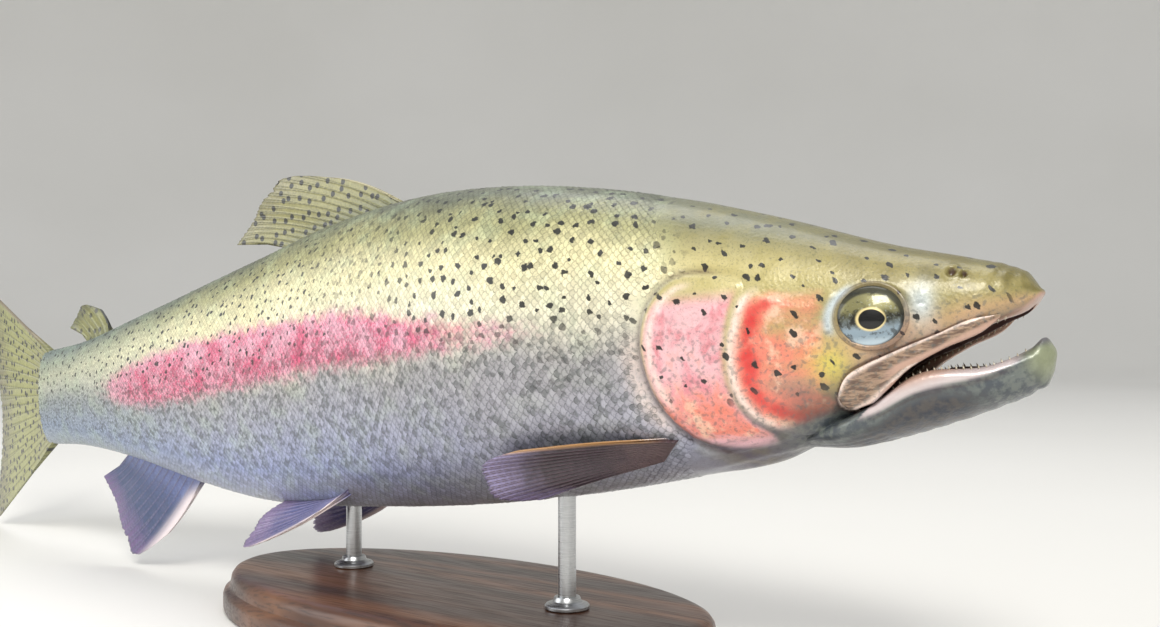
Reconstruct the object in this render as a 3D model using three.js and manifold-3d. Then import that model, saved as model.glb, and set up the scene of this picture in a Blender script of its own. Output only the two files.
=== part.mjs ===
// Rainbow trout, a still life-size model on a plain display stand.
// Millimetres, +Z up. The fish's chord runs along X with the head towards +X; its right flank faces -Y.
// Every piece of the fish is made on a straight fish first, then bent and pitched into its pose.
// On the straight fish, s runs back from the snout, y to the fish's left and z up from the body's axis.

import * as THREE from 'three';
import { LoftGeometry } from 'three/addons/geometries/LoftGeometry.js';
import { mergeVertices } from 'three/addons/utils/BufferGeometryUtils.js';
import Module from 'manifold-3d';

const wasm = await Module();
wasm.setup();

// ---------------------------------------------------------------- driving dimensions
const bodyLength = 480;          // snout to the root of the tail fin
const tailFinLength = 92;        // root of the tail fin to its tips
const tailFinSpread = 122;       // between the tips of its lobes
const tailForkDepth = 16;
const tailCornerCut = 7;         // how much the lobes' corners are rounded back
const finTipOnRay = 0.8;         // thickness of a fin's edge at a ray
const finTipBetween = 0.54;      // and between two rays
const finRootBetween = 0.55;     // root thickness between rays, as a share of the ray's
const gap = 0.3;                 // left between neighbouring pieces
const pitch = 4.8;               // degrees, head up
const axisHeight = 114;          // snout's axis over the floor
const ringPoints = 22;           // points round a body section
const sectionStep = 19;          // between trunk sections

// [s, value] stations of the body's outline; a smooth curve runs through them
const backLine = [[2.4, 6.8], [5, 11.2], [9.5, 14], [18, 16.8], [40, 23], [75, 35.5], [120, 49], [168, 58],
  [216, 61.5], [264, 58], [312, 48.5], [384, 33.5], [440, 24], [480, 22]];
const bellyLine = [[2.4, 5], [4.4, 2.8], [14, -2], [30, -9], [40, -13], [54, -26], [75, -36], [114, -43],
  [168, -49], [240, -52.5], [320, -49.5], [352, -43], [400, -31.5], [440, -25.5], [480, -24]];
const halfWidth = [[2.4, 2.6], [4.4, 6.2], [8, 9.6], [14, 13.2], [30, 17.8], [48, 21.8], [75, 26.4],
  [100, 29.2], [150, 32], [216, 32], [264, 30], [312, 25], [384, 16], [440, 9.4], [480, 6.2]];
const widestHeight = [[0, 6.4], [14, 3.5], [30, -0.5], [60, -4.5], [110, -1], [216, 4], [320, 2], [480, -1]];
const backRoundness = [[0, 2.2], [45, 2.5], [110, 2.15], [216, 2.05], [480, 2.2]];
const bellyRoundness = [[0, 3], [40, 2.6], [110, 2.1], [240, 2.1], [480, 2.2]];

// degrees between the body and its chord: a gentle S, the tail swinging to the fish's left
const headingLine = [[0, -6.4], [98, -6.4], [126, -5.6], [184, 6], [240, 3], [312, -2.5], [384, -0.5],
  [480, 9.5], [575, 13]];

// lower jaw, held a little open
const jawEnd = 76;
const jawTop = [[0.4, -9], [2, -6.4], [6, -8.6], [14, -11.6], [36, -13.6], [46, -20], [76, -31]];
const jawBottom = [[0.4, -12], [2, -17.4], [6, -20.6], [16, -24.6], [30, -28.8], [44, -32.2], [76, -37]];
const jawHalfWidth = [[0.4, 2], [2, 5], [6, 8.2], [14, 12], [30, 16.6], [46, 19.6], [76, 23]];

const jawWidestShare = 0.38;     // how far down its side the jaw is widest
const jawTopRoundness = [[0.4, 1.9], [5, 2.1], [14, 3], [76, 3]];

// inside of the mouth, from behind the front teeth to the throat
const mouthStart = 5.6;
const mouthEnd = 62;
const mouthRoof = [[5.6, 4.4], [14, 3], [30, -3.4], [45, -8.5], [62, -19]];
const mouthFloor = [[5.6, -12.5], [14, -17.2], [30, -20.6], [45, -24], [62, -26]];
const mouthHalfWidth = [[5.6, 2.4], [9, 6.6], [14, 9.6], [30, 13.6], [45, 14.6], [62, 10]];

const cutHeadAt = 112.5;         // gill opening, where the head's cut crosses the axis
const cutHeadSlope = 0.25;       // the cut leans forward towards the throat
const trunkCuts = [232, 338, 428];
const trunkEnd = 484;

// gill cover and upper jaw bone, outlined from the side as [s, z]
const coverOutline = [[80, 15], [90, 18.5], [100, 18], [107.5, 11], [110.6, 0], [108.4, -14], [103, -24],
  [95, -31], [83, -33], [74, -30.5], [79.5, -19], [83, -6], [82, 6]];
const maxillaOutline = [[12.5, 1.6], [27, -2.6], [38, -6.2], [47, -9.6], [53, -13.6], [54.6, -18.4],
  [51.5, -21.8], [45.5, -21.4], [40, -16.6], [33, -12], [22, -6.6], [13.2, -2]];
const coverThickness = 3;
const coverProud = 0.4;
const maxillaDepth = 1.4;
const maxillaProud = 1.1;

const flankInner = 4;            // blocks cut over a flank run between these distances from the middle
const flankOuter = 60;

const eyeAt = [45, 17.8, 2];     // s, y, z of the eyeball's middle
const eyeRadii = [11.9, 5.2, 10];
const eyeForward = 11;           // degrees that the eye looks forward, as the head widens behind it

const tongueHalfWidth = [[14, 1.2], [20, 4], [34, 6], [52, 6.5]];
const tongueHeight = 4;

const baseLength = 216;
const baseWidth = 112;
const baseThickness = 16;
const baseAt = 214;              // s of the fish over the middle of the base
const baseEdge = 3;              // rounding of the base's rim
const rodRadius = 3;
const rodStations = [158, 268];
const rodDepthInBody = 16;
const rodDepthInBase = 10;
const collarRadius = 7.5;
const collarHeight = 4;

// ---------------------------------------------------------------- curves and the bend
// Smooth curve through stations, with the slope at each taken from its two neighbours.
function curveThrough(stations) {
  const slope = stations.map((station, i) => {
    const before = stations[Math.max(i - 1, 0)];
    const after = stations[Math.min(i + 1, stations.length - 1)];
    if (before === station || after === station) return (after[1] - before[1]) / (after[0] - before[0]);
    const stepBack = station[0] - before[0];
    const stepOn = after[0] - station[0];
    const slopeBack = (station[1] - before[1]) / stepBack;
    const slopeOn = (after[1] - station[1]) / stepOn;
    return (slopeBack * stepOn + slopeOn * stepBack) / (stepBack + stepOn);
  });
  return (at) => {
    const last = stations.length - 1;
    const x = THREE.MathUtils.clamp(at, stations[0][0], stations[last][0]);
    let i = 0;
    while (i < last - 1 && stations[i + 1][0] <= x) i += 1;
    const step = stations[i + 1][0] - stations[i][0];
    const t = (x - stations[i][0]) / step;
    return (1 + 2 * t) * (1 - t) ** 2 * stations[i][1] + t * (1 - t) ** 2 * step * slope[i]
      + t * t * (3 - 2 * t) * stations[i + 1][1] + t * t * (t - 1) * step * slope[i + 1];
  };
}

const back = curveThrough(backLine);
const belly = curveThrough(bellyLine);
const width = curveThrough(halfWidth);
const widest = curveThrough(widestHeight);
const roundBack = curveThrough(backRoundness);
const roundBelly = curveThrough(bellyRoundness);
const heading = curveThrough(headingLine);

// The bent spine, walked in one-millimetre steps from the snout.
const spine = [new THREE.Vector2(0, 0)];
for (let s = 1; s <= bodyLength + tailFinLength + 20; s += 1) {
  const angle = THREE.MathUtils.degToRad(heading(s - 0.5));
  const previous = spine[s - 1];
  spine.push(new THREE.Vector2(previous.x - Math.cos(angle), previous.y + Math.sin(angle)));
}

function spineAt(s) {
  if (s <= 0) {
    const angle = THREE.MathUtils.degToRad(heading(0));
    return new THREE.Vector2(-s * Math.cos(angle), s * Math.sin(angle));
  }
  const i = Math.min(Math.floor(s), spine.length - 2);
  return spine[i].clone().lerp(spine[i + 1], s - i);
}

// Takes a point of the straight fish (x is -s) to its place in the pose.
function bend(point) {
  const s = -point.x;
  const angle = THREE.MathUtils.degToRad(heading(s));
  const centre = spineAt(s);
  const x = centre.x + point.y * Math.sin(angle);
  const y = centre.y + point.y * Math.cos(angle);
  const tilt = THREE.MathUtils.degToRad(pitch);
  return new THREE.Vector3(
    x * Math.cos(tilt) - point.z * Math.sin(tilt),
    y,
    x * Math.sin(tilt) + point.z * Math.cos(tilt) + axisHeight,
  );
}

function bendGeometry(geometry) {
  const position = geometry.getAttribute('position');
  const point = new THREE.Vector3();
  for (let i = 0; i < position.count; i += 1) {
    point.fromBufferAttribute(position, i);
    const placed = bend(point);
    position.setXYZ(i, placed.x, placed.y, placed.z);
  }
  return geometry;
}

// ---------------------------------------------------------------- solids, joins and cuts
function toSolid(geometry) {
  const bare = new THREE.BufferGeometry();
  bare.setAttribute('position', geometry.getAttribute('position'));
  bare.setIndex(geometry.index);
  const merged = mergeVertices(bare);
  const mesh = new wasm.Mesh({
    numProp: 3,
    vertProperties: new Float32Array(merged.getAttribute('position').array),
    triVerts: new Uint32Array(merged.index.array),
  });
  return new wasm.Manifold(mesh);
}

function toGeometry(solid) {
  const mesh = solid.getMesh();
  const geometry = new THREE.BufferGeometry();
  geometry.setAttribute('position', new THREE.BufferAttribute(new Float32Array(mesh.vertProperties), 3));
  geometry.setIndex(new THREE.BufferAttribute(new Uint32Array(mesh.triVerts), 1));
  return geometry;
}

// Oval section: each quarter is a superellipse of its own roundness, flatter as the roundness grows.
function ovalSection(s, shape, count) {
  const points = [];
  for (let i = 0; i < count; i += 1) {
    const angle = (i / count) * 2 * Math.PI;
    const over = Math.cos(angle) >= 0;
    const power = 2 / (over ? shape.roundTop : shape.roundBottom);
    const tall = over ? shape.top - shape.mid : shape.mid - shape.bottom;
    const rise = Math.abs(Math.cos(angle)) ** power * tall;
    const reach = Math.abs(Math.sin(angle)) ** power * shape.half * Math.sign(Math.sin(angle));
    points.push(new THREE.Vector3(-s, reach, shape.mid + (over ? rise : -rise)));
  }
  return points;
}

function lengthStations(from, to, step) {
  const count = Math.max(2, Math.round((to - from) / step) + 1);
  return Array.from({ length: count }, (_, i) => from + ((to - from) * i) / (count - 1));
}

function loftSolid(sections) {
  return toSolid(new LoftGeometry(sections, { capStart: true, capEnd: true }));
}

// The whole fish without its lower jaw and fins, grown outwards by `grow`.
const snoutStations = [2.4, 3.4, 5, 8, 13, 20, 29, 39, 50, 62, 77, 96, 116, 136];

function bodySection(s, grow, count = ringPoints) {
  return ovalSection(s, {
    top: back(s) + grow,
    bottom: belly(s) - grow,
    mid: widest(s),
    half: width(s) + grow,
    roundTop: roundBack(s),
    roundBottom: roundBelly(s),
  }, count);
}

function headLoft(grow) {
  return loftSolid(snoutStations.map((s) => bodySection(s, grow)));
}

// What lies under the gill covers: plainer, as it hardly shows.
function underCoverLoft(grow) {
  return loftSolid(lengthStations(60, 136, 25).map((s) => bodySection(s, grow, 16)));
}

const trunkSectionsAt = lengthStations(92, trunkEnd, sectionStep);

function trunkLoft(grow) {
  return loftSolid(trunkSectionsAt.map((s) => bodySection(s, grow)));
}

// A block that holds everything behind a cut across the body (side 1) or before it (side -1).
function blockBeside(s, slope, side) {
  const reach = 700;
  const block = new THREE.BoxGeometry(reach, reach, reach);
  block.translate(-side * (reach / 2 + gap / 2), 0, 0);
  block.rotateY(-Math.atan(slope));
  block.translate(-s, 0, 0);
  return toSolid(block);
}

// A side-view outline [s, z] made into a block over one flank, from y = inner to y = outer.
function flankBlock(outline, side, inner, outer) {
  const shape = new THREE.Shape(outline.map(([s, z]) => new THREE.Vector2(-s, z)));
  const block = new THREE.ExtrudeGeometry(shape, { depth: outer - inner, bevelEnabled: false });
  block.rotateX(Math.PI / 2);
  block.translate(0, side > 0 ? outer : -inner, 0);
  return toSolid(block);
}

// Smooth closed outline through a few side-view points, moved outwards by `grow`.
function smoothOutline(points, grow, count) {
  const curve = new THREE.CatmullRomCurve3(points.map(([s, z]) => new THREE.Vector3(s, z, 0)), true);
  return curve.getSpacedPoints(count).slice(0, count).map((point, i) => {
    const along = curve.getTangentAt(i / count);
    return [point.x - along.y * grow, point.y + along.x * grow];
  });
}

// ---------------------------------------------------------------- materials
function finish(color, roughness, metalness = 0) {
  return new THREE.MeshStandardMaterial({ color, roughness, metalness });
}

const skinOfHead = finish(0xa8a052, 0.35);
const skinOfJaw = finish(0xc3c8c0, 0.35);
const skinOfTrunk = finish(0xb9b78c, 0.35);
const skinOfCover = finish(0xd98a80, 0.3);
const skinOfMaxilla = finish(0xc29a86, 0.35);
const mouthFlesh = finish(0x8f6a6a, 0.5);
const finFlesh = finish(0x7d7a6a, 0.4);
const lowerFinFlesh = finish(0x59608a, 0.4);
const eyeGlass = finish(0x5a554a, 0.08);
const wood = finish(0x5a3a24, 0.45);
const brushedSteel = finish(0xb4b6b8, 0.3, 1);

const trout = new THREE.Group();
trout.name = 'rainbow_trout';

function addPiece(name, geometry, material) {
  const mesh = new THREE.Mesh(geometry, material);
  mesh.name = name;
  trout.add(mesh);
  return mesh;
}

function addBent(name, solid, material) {
  return addPiece(name, bendGeometry(toGeometry(solid)), material);
}

// ---------------------------------------------------------------- head
function mouthSpace() {
  const roof = curveThrough(mouthRoof);
  const floor = curveThrough(mouthFloor);
  const half = curveThrough(mouthHalfWidth);
  const stations = lengthStations(mouthStart, mouthEnd, 8);
  return loftSolid(stations.map((s) => ovalSection(s, {
    top: roof(s),
    bottom: floor(s),
    mid: (roof(s) + floor(s)) / 2,
    half: half(s),
    roundTop: 2.4,
    roundBottom: 2.8,
  }, 16)));
}

function eyeBall(side, grow) {
  const ball = new THREE.SphereGeometry(1, 14, 8);
  ball.rotateX(Math.PI / 2);
  ball.scale(eyeRadii[0] + grow, eyeRadii[1] + grow, eyeRadii[2] + grow);
  ball.rotateZ(THREE.MathUtils.degToRad(-side * eyeForward));
  ball.translate(-eyeAt[0], side * eyeAt[1], eyeAt[2]);
  return toSolid(ball);
}

// Gill cover, from the cheek's rear edge back to the gill opening.
function gillCoverSpace(side, grow) {
  const block = flankBlock(smoothOutline(coverOutline, grow, 20), side, flankInner, flankOuter);
  return block.subtract(underCoverLoft(-coverThickness - grow));
}

function gillCover(side) {
  return gillCoverSpace(side, 0).intersect(headLoft(coverProud));
}

// Section of the head with both jaws, which the upper jaw bones lie on.
function cheekLoft(grow, step, count) {
  const jawLow = curveThrough(jawBottom);
  return loftSolid(lengthStations(4, 64, step).map((s) => ovalSection(s, {
    top: back(s) + grow,
    bottom: jawLow(s) - grow,
    mid: widest(s),
    half: width(s) + grow,
    roundTop: roundBack(s),
    roundBottom: roundBelly(s),
  }, count)));
}

// Upper jaw bone: a blade along the mouth's edge, widening to a round end behind the eye.
function maxillaSpace(side, grow) {
  const block = flankBlock(smoothOutline(maxillaOutline, grow, 18), side, flankInner, flankOuter);
  return block.subtract(cheekLoft(-maxillaDepth - grow, 10, 16));
}

function maxilla(side) {
  return maxillaSpace(side, 0).intersect(cheekLoft(maxillaProud, 6, ringPoints));
}

const sides = [['right', -1], ['left', 1]];

function head() {
  let solid = headLoft(0).intersect(blockBeside(cutHeadAt, cutHeadSlope, -1)).subtract(mouthSpace());
  sides.forEach(([, side]) => {
    solid = solid.subtract(gillCoverSpace(side, gap));
    solid = solid.subtract(maxillaSpace(side, gap));
    solid = solid.subtract(eyeBall(side, gap));
  });
  return solid;
}

function lowerJaw() {
  const top = curveThrough(jawTop);
  const bottom = curveThrough(jawBottom);
  const half = curveThrough(jawHalfWidth);
  const roundTop = curveThrough(jawTopRoundness);
  const stations = [0.4, 1.6, 3.6, 7, 13, 22, 33, 45, 60, jawEnd];
  const bone = loftSolid(stations.map((s) => ovalSection(s, {
    top: top(s),
    bottom: bottom(s),
    mid: THREE.MathUtils.lerp(top(s), bottom(s), jawWidestShare),
    half: half(s),
    roundTop: roundTop(s),
    roundBottom: 2.1,
  }, 20)));
  let solid = bone.subtract(mouthSpace()).subtract(headLoft(gap));
  sides.forEach(([, side]) => {
    solid = solid.subtract(maxillaSpace(side, gap));
    solid = solid.subtract(gillCoverSpace(side, gap));
  });
  return solid;
}

function tongue() {
  const floor = curveThrough(mouthFloor);
  const half = curveThrough(tongueHalfWidth);
  const stations = lengthStations(14, 50, 9);
  return loftSolid(stations.map((s) => ovalSection(s, {
    top: floor(s) + gap + tongueHeight * (half(s) / 6),
    bottom: floor(s) + 0.9,
    mid: floor(s) + 2.2,
    half: half(s),
    roundTop: 2,
    roundBottom: 2,
  }, 12)));
}

addBent('head', head(), skinOfHead);
addBent('jaw_lower', lowerJaw(), skinOfJaw);
addBent('tongue', tongue(), mouthFlesh);
sides.forEach(([word, side]) => {
  addBent(`maxilla_${word}`, maxilla(side), skinOfMaxilla);
  addBent(`gill_cover_${word}`, gillCover(side), skinOfCover);
  addBent(`eye_${word}`, eyeBall(side, 0), eyeGlass);
});

// ---------------------------------------------------------------- stand
// Rods are upright, so their sockets are cut after the body has been bent.
function underBody(s) {
  return bend(new THREE.Vector3(-s, 0, belly(s)));
}

function rodSolid(s, grow) {
  const top = underBody(s).z + rodDepthInBody + grow;
  const bottom = baseThickness - rodDepthInBase - grow;
  const rod = new THREE.CylinderGeometry(rodRadius + grow, rodRadius + grow, top - bottom, 16);
  rod.rotateX(Math.PI / 2);
  rod.translate(underBody(s).x, underBody(s).y, (top + bottom) / 2);
  return toSolid(rod);
}

function collar(s) {
  const profile = [
    [rodRadius + gap, 0],
    [collarRadius, 0],
    [collarRadius, collarHeight * 0.4],
    [rodRadius + 1.4, collarHeight],
    [rodRadius + gap, collarHeight],
    [rodRadius + gap, 0],
  ].map(([radius, z]) => new THREE.Vector2(radius, z));
  const ring = new THREE.LatheGeometry(profile, 14);
  ring.rotateX(Math.PI / 2);
  ring.translate(underBody(s).x, underBody(s).y, baseThickness + gap);
  return ring;
}

function standBase() {
  const oval = new THREE.Shape();
  oval.absellipse(0, 0, baseLength / 2 - baseEdge, baseWidth / 2 - baseEdge, 0, 2 * Math.PI, false, 0);
  const plate = new THREE.ExtrudeGeometry(oval, {
    depth: baseThickness - baseEdge,
    bevelThickness: baseEdge,
    bevelSize: baseEdge,
    bevelSegments: 2,
    curveSegments: 16,
  });
  plate.translate(underBody(baseAt).x, underBody(baseAt).y, 0);
  const floorCut = new THREE.BoxGeometry(baseLength * 2, baseWidth * 2, baseThickness);
  floorCut.translate(underBody(baseAt).x, underBody(baseAt).y, -baseThickness / 2);
  let solid = toSolid(plate).subtract(toSolid(floorCut));
  rodStations.forEach((s) => {
    solid = solid.subtract(rodSolid(s, gap));
  });
  return toGeometry(solid);
}

// ---------------------------------------------------------------- trunk
const wholeTrunk = trunkLoft(0);
const trunkNames = ['trunk_front', 'trunk_mid', 'trunk_rear', 'tail_root'];
trunkNames.forEach((name, i) => {
  const start = i === 0 ? blockBeside(cutHeadAt, cutHeadSlope, 1) : blockBeside(trunkCuts[i - 1], 0, 1);
  let length = wholeTrunk.intersect(start);
  if (i < trunkCuts.length) length = length.intersect(blockBeside(trunkCuts[i], 0, -1));
  let placed = toSolid(bendGeometry(toGeometry(length)));
  rodStations.forEach((s) => {
    placed = placed.subtract(rodSolid(s, gap));
  });
  addPiece(name, toGeometry(placed), skinOfTrunk);
});

// ---------------------------------------------------------------- fins
const grownTrunk = trunkLoft(gap);

// A fin is a thin plate between the line of its roots and the line of its tips. It is thicker along each
// ray than between two rays, and thins towards the tips.
function finSolid(fin) {
  const columns = fin.rays * 2;
  const rows = fin.rows;
  const front = [];
  const rear = [];
  for (let c = 0; c <= columns; c += 1) {
    const t = c / columns;
    const root = fin.root(t);
    const tip = fin.tip(t);
    const onRay = c % 2 === 0;
    for (let r = 0; r <= rows; r += 1) {
      const u = r / rows;
      const point = root.clone().lerp(tip, u).addScaledVector(fin.sweep(t), 4 * u * (1 - u));
      const rootThick = onRay ? fin.thick : fin.thick * finRootBetween;
      const half = THREE.MathUtils.lerp(rootThick, onRay ? finTipOnRay : finTipBetween, u) / 2;
      const normal = fin.normal(t);
      front.push(point.clone().addScaledVector(normal, half));
      rear.push(point.clone().addScaledVector(normal, -half));
    }
  }
  const points = [...front, ...rear];
  const index = [];
  const at = (c, r, side) => side * front.length + c * (rows + 1) + r;
  const quad = (a, b, c, d) => index.push(a, b, c, a, c, d);
  for (let c = 0; c < columns; c += 1) {
    for (let r = 0; r < rows; r += 1) {
      quad(at(c, r, 0), at(c + 1, r, 0), at(c + 1, r + 1, 0), at(c, r + 1, 0));
      quad(at(c, r, 1), at(c, r + 1, 1), at(c + 1, r + 1, 1), at(c + 1, r, 1));
    }
    quad(at(c, 0, 0), at(c, 0, 1), at(c + 1, 0, 1), at(c + 1, 0, 0));
    quad(at(c, rows, 0), at(c + 1, rows, 0), at(c + 1, rows, 1), at(c, rows, 1));
  }
  for (let r = 0; r < rows; r += 1) {
    quad(at(0, r, 0), at(0, r + 1, 0), at(0, r + 1, 1), at(0, r, 1));
    quad(at(columns, r, 0), at(columns, r, 1), at(columns, r + 1, 1), at(columns, r + 1, 0));
  }
  const geometry = new THREE.BufferGeometry();
  const flat = new Float32Array(points.flatMap((p) => [...p]));
  geometry.setAttribute('position', new THREE.BufferAttribute(flat, 3));
  geometry.setIndex(index);
  let solid = toSolid(geometry);
  if (solid.volume() < 0) {
    for (let i = 0; i < index.length; i += 3) {
      [index[i], index[i + 1]] = [index[i + 1], index[i]];
    }
    geometry.setIndex(index);
    solid = toSolid(geometry);
  }
  return solid;
}

const along = (s, y, z) => new THREE.Vector3(-s, y, z);
const mix = THREE.MathUtils.lerp;

// Fins on the midline: [s of first and last root], ray lengths, and ray angles above the tailward level.
function midlineFin({ rays, rows, roots, sink, lengths, angles, thick, line, sweep }) {
  const length = curveThrough(lengths);
  const angle = curveThrough(angles);
  return {
    rays,
    rows,
    thick,
    root: (t) => {
      const s = mix(roots[0], roots[1], t);
      return along(s, 0, line(s) - sink);
    },
    tip: (t) => {
      const s = mix(roots[0], roots[1], t);
      const lean = THREE.MathUtils.degToRad(angle(t));
      const reach = length(t);
      return along(s + reach * Math.cos(lean), 0, line(s) + reach * Math.sin(lean));
    },
    sweep: () => along(0, 0, sweep),
    normal: () => new THREE.Vector3(0, 1, 0),
  };
}

const dorsalFin = midlineFin({
  rays: 11,
  rows: 3,
  roots: [226, 291],
  sink: 3,
  lengths: [[0, 42], [0.08, 60], [0.3, 62], [0.7, 48], [1, 36]],
  angles: [[0, 20], [0.3, 14], [1, 5]],
  thick: 2,
  line: back,
  sweep: 2,
});

const analFin = midlineFin({
  rays: 10,
  rows: 3,
  roots: [354, 404],
  sink: -3,
  lengths: [[0, 38], [0.08, 54], [0.3, 52], [0.7, 38], [1, 27]],
  angles: [[0, -38], [0.3, -33], [1, -19]],
  thick: 2,
  line: belly,
  sweep: -2,
});

// Small rounded fatty lobe between the dorsal fin and the tail.
const adiposeFin = midlineFin({
  rays: 3,
  rows: 4,
  roots: [416, 434],
  sink: 3,
  lengths: [[0, 15], [0.25, 23], [0.6, 25], [1, 22]],
  angles: [[0, 44], [0.5, 33], [1, 17]],
  thick: 3.4,
  line: back,
  sweep: 1.5,
});

// Tail fin: rays spread from the end of the body to a slightly forked rear edge.
const tailFin = {
  rays: 16,
  rows: 4,
  thick: 3.2,
  root: (t) => along(mix(476, 478, Math.sin(Math.PI * t)), 0, mix(20, -22, t)),
  tip: (t) => {
    const spread = 2 * t - 1;
    const fork = tailForkDepth * (1 - Math.abs(spread) ** 1.4);
    const corner = tailCornerCut * Math.abs(spread) ** 12;
    return along(bodyLength + tailFinLength - fork - corner, 0, -spread * tailFinSpread / 2 - 2);
  },
  sweep: (t) => along(6 * Math.abs(2 * t - 1), 0, (1 - 2 * t) * 3),
  normal: () => new THREE.Vector3(0, 1, 0),
};

// Paired fins: root line, first and last ray, all on the fish's left; the right one is mirrored.
function pairedFin({ rays, rows, thick, roots, lengths, first, last, sweep, normal }) {
  const length = curveThrough(lengths);
  return {
    rays,
    rows,
    thick,
    root: (t) => along(...roots[0]).lerp(along(...roots[1]), t),
    tip: (t) => {
      const root = along(...roots[0]).lerp(along(...roots[1]), t);
      const direction = along(...first).lerp(along(...last), t).normalize();
      return root.addScaledVector(direction, length(t));
    },
    sweep: (t) => along(...sweep).multiplyScalar(1 - t * 0.5),
    normal: () => along(...normal).normalize(),
  };
}

const pelvicFin = pairedFin({
  rays: 8,
  rows: 3,
  thick: 1.9,
  roots: [[250, 15, -44], [258, 8.5, -46]],
  lengths: [[0, 48], [0.15, 61], [0.5, 56], [1, 42]],
  first: [56, 9, -25],
  last: [60, -1, -5],
  sweep: [0, 2, -2],
  normal: [-0.2, 0.85, 0.5],
});

const pectoralFin = pairedFin({
  rays: 9,
  rows: 3,
  thick: 2,
  roots: [[104, 22, -29], [111, 17, -35]],
  lengths: [[0, 50], [0.12, 58], [0.5, 60], [0.85, 53], [1, 43]],
  first: [66, 14, -1],
  last: [60, 8, -17],
  sweep: [0, 3, 1],
  normal: [-0.2, 0.86, -0.42],
});

function mirrored(fin) {
  const flip = new THREE.Vector3(1, -1, 1);
  return {
    ...fin,
    root: (t) => fin.root(t).multiply(flip),
    tip: (t) => fin.tip(t).multiply(flip),
    sweep: (t) => fin.sweep(t).multiply(flip),
    normal: (t) => fin.normal(t).multiply(flip),
  };
}

function addFin(name, fin, material) {
  addBent(name, finSolid(fin).subtract(grownTrunk), material);
}

addFin('fin_dorsal', dorsalFin, finFlesh);
addFin('fin_adipose', adiposeFin, finFlesh);
addFin('fin_anal', analFin, lowerFinFlesh);
addFin('fin_caudal', tailFin, finFlesh);
sides.forEach(([word, side]) => {
  addFin(`fin_pelvic_${word}`, side > 0 ? pelvicFin : mirrored(pelvicFin), lowerFinFlesh);
  addFin(`fin_pectoral_${word}`, side > 0 ? pectoralFin : mirrored(pectoralFin), lowerFinFlesh);
});

addPiece('stand_base', standBase(), wood);
['front', 'rear'].forEach((word, i) => {
  addPiece(`stand_rod_${word}`, toGeometry(rodSolid(rodStations[i], 0)), brushedSteel);
  addPiece(`stand_collar_${word}`, collar(rodStations[i]), brushedSteel);
});

// The origin is at the middle of the whole model's footprint, on the floor.
const footprint = new THREE.Box3().setFromObject(trout).getCenter(new THREE.Vector3());
trout.position.set(-footprint.x, -footprint.y, 0);

export default trout;
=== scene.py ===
# Dresses the rainbow trout display model: one skin with its coat of scales, rayed fins, eyes, mouth and stand.
import math
import bpy
import numpy as np
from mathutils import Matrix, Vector


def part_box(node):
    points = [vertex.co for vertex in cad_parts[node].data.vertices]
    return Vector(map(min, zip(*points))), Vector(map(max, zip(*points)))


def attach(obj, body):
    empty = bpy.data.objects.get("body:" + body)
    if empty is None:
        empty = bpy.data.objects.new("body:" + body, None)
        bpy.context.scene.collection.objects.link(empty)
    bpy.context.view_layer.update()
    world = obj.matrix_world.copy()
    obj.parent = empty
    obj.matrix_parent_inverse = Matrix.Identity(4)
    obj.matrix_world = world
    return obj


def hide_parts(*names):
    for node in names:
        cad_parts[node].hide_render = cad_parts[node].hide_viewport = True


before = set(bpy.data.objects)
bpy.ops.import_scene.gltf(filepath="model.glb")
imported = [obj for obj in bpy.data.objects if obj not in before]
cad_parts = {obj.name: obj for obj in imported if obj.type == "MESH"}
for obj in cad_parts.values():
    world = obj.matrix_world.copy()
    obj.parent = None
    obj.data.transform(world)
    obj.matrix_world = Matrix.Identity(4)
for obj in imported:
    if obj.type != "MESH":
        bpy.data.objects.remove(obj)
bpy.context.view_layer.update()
print("frame loaded:", len(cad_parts), "solids")

mm = 0.001

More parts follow.
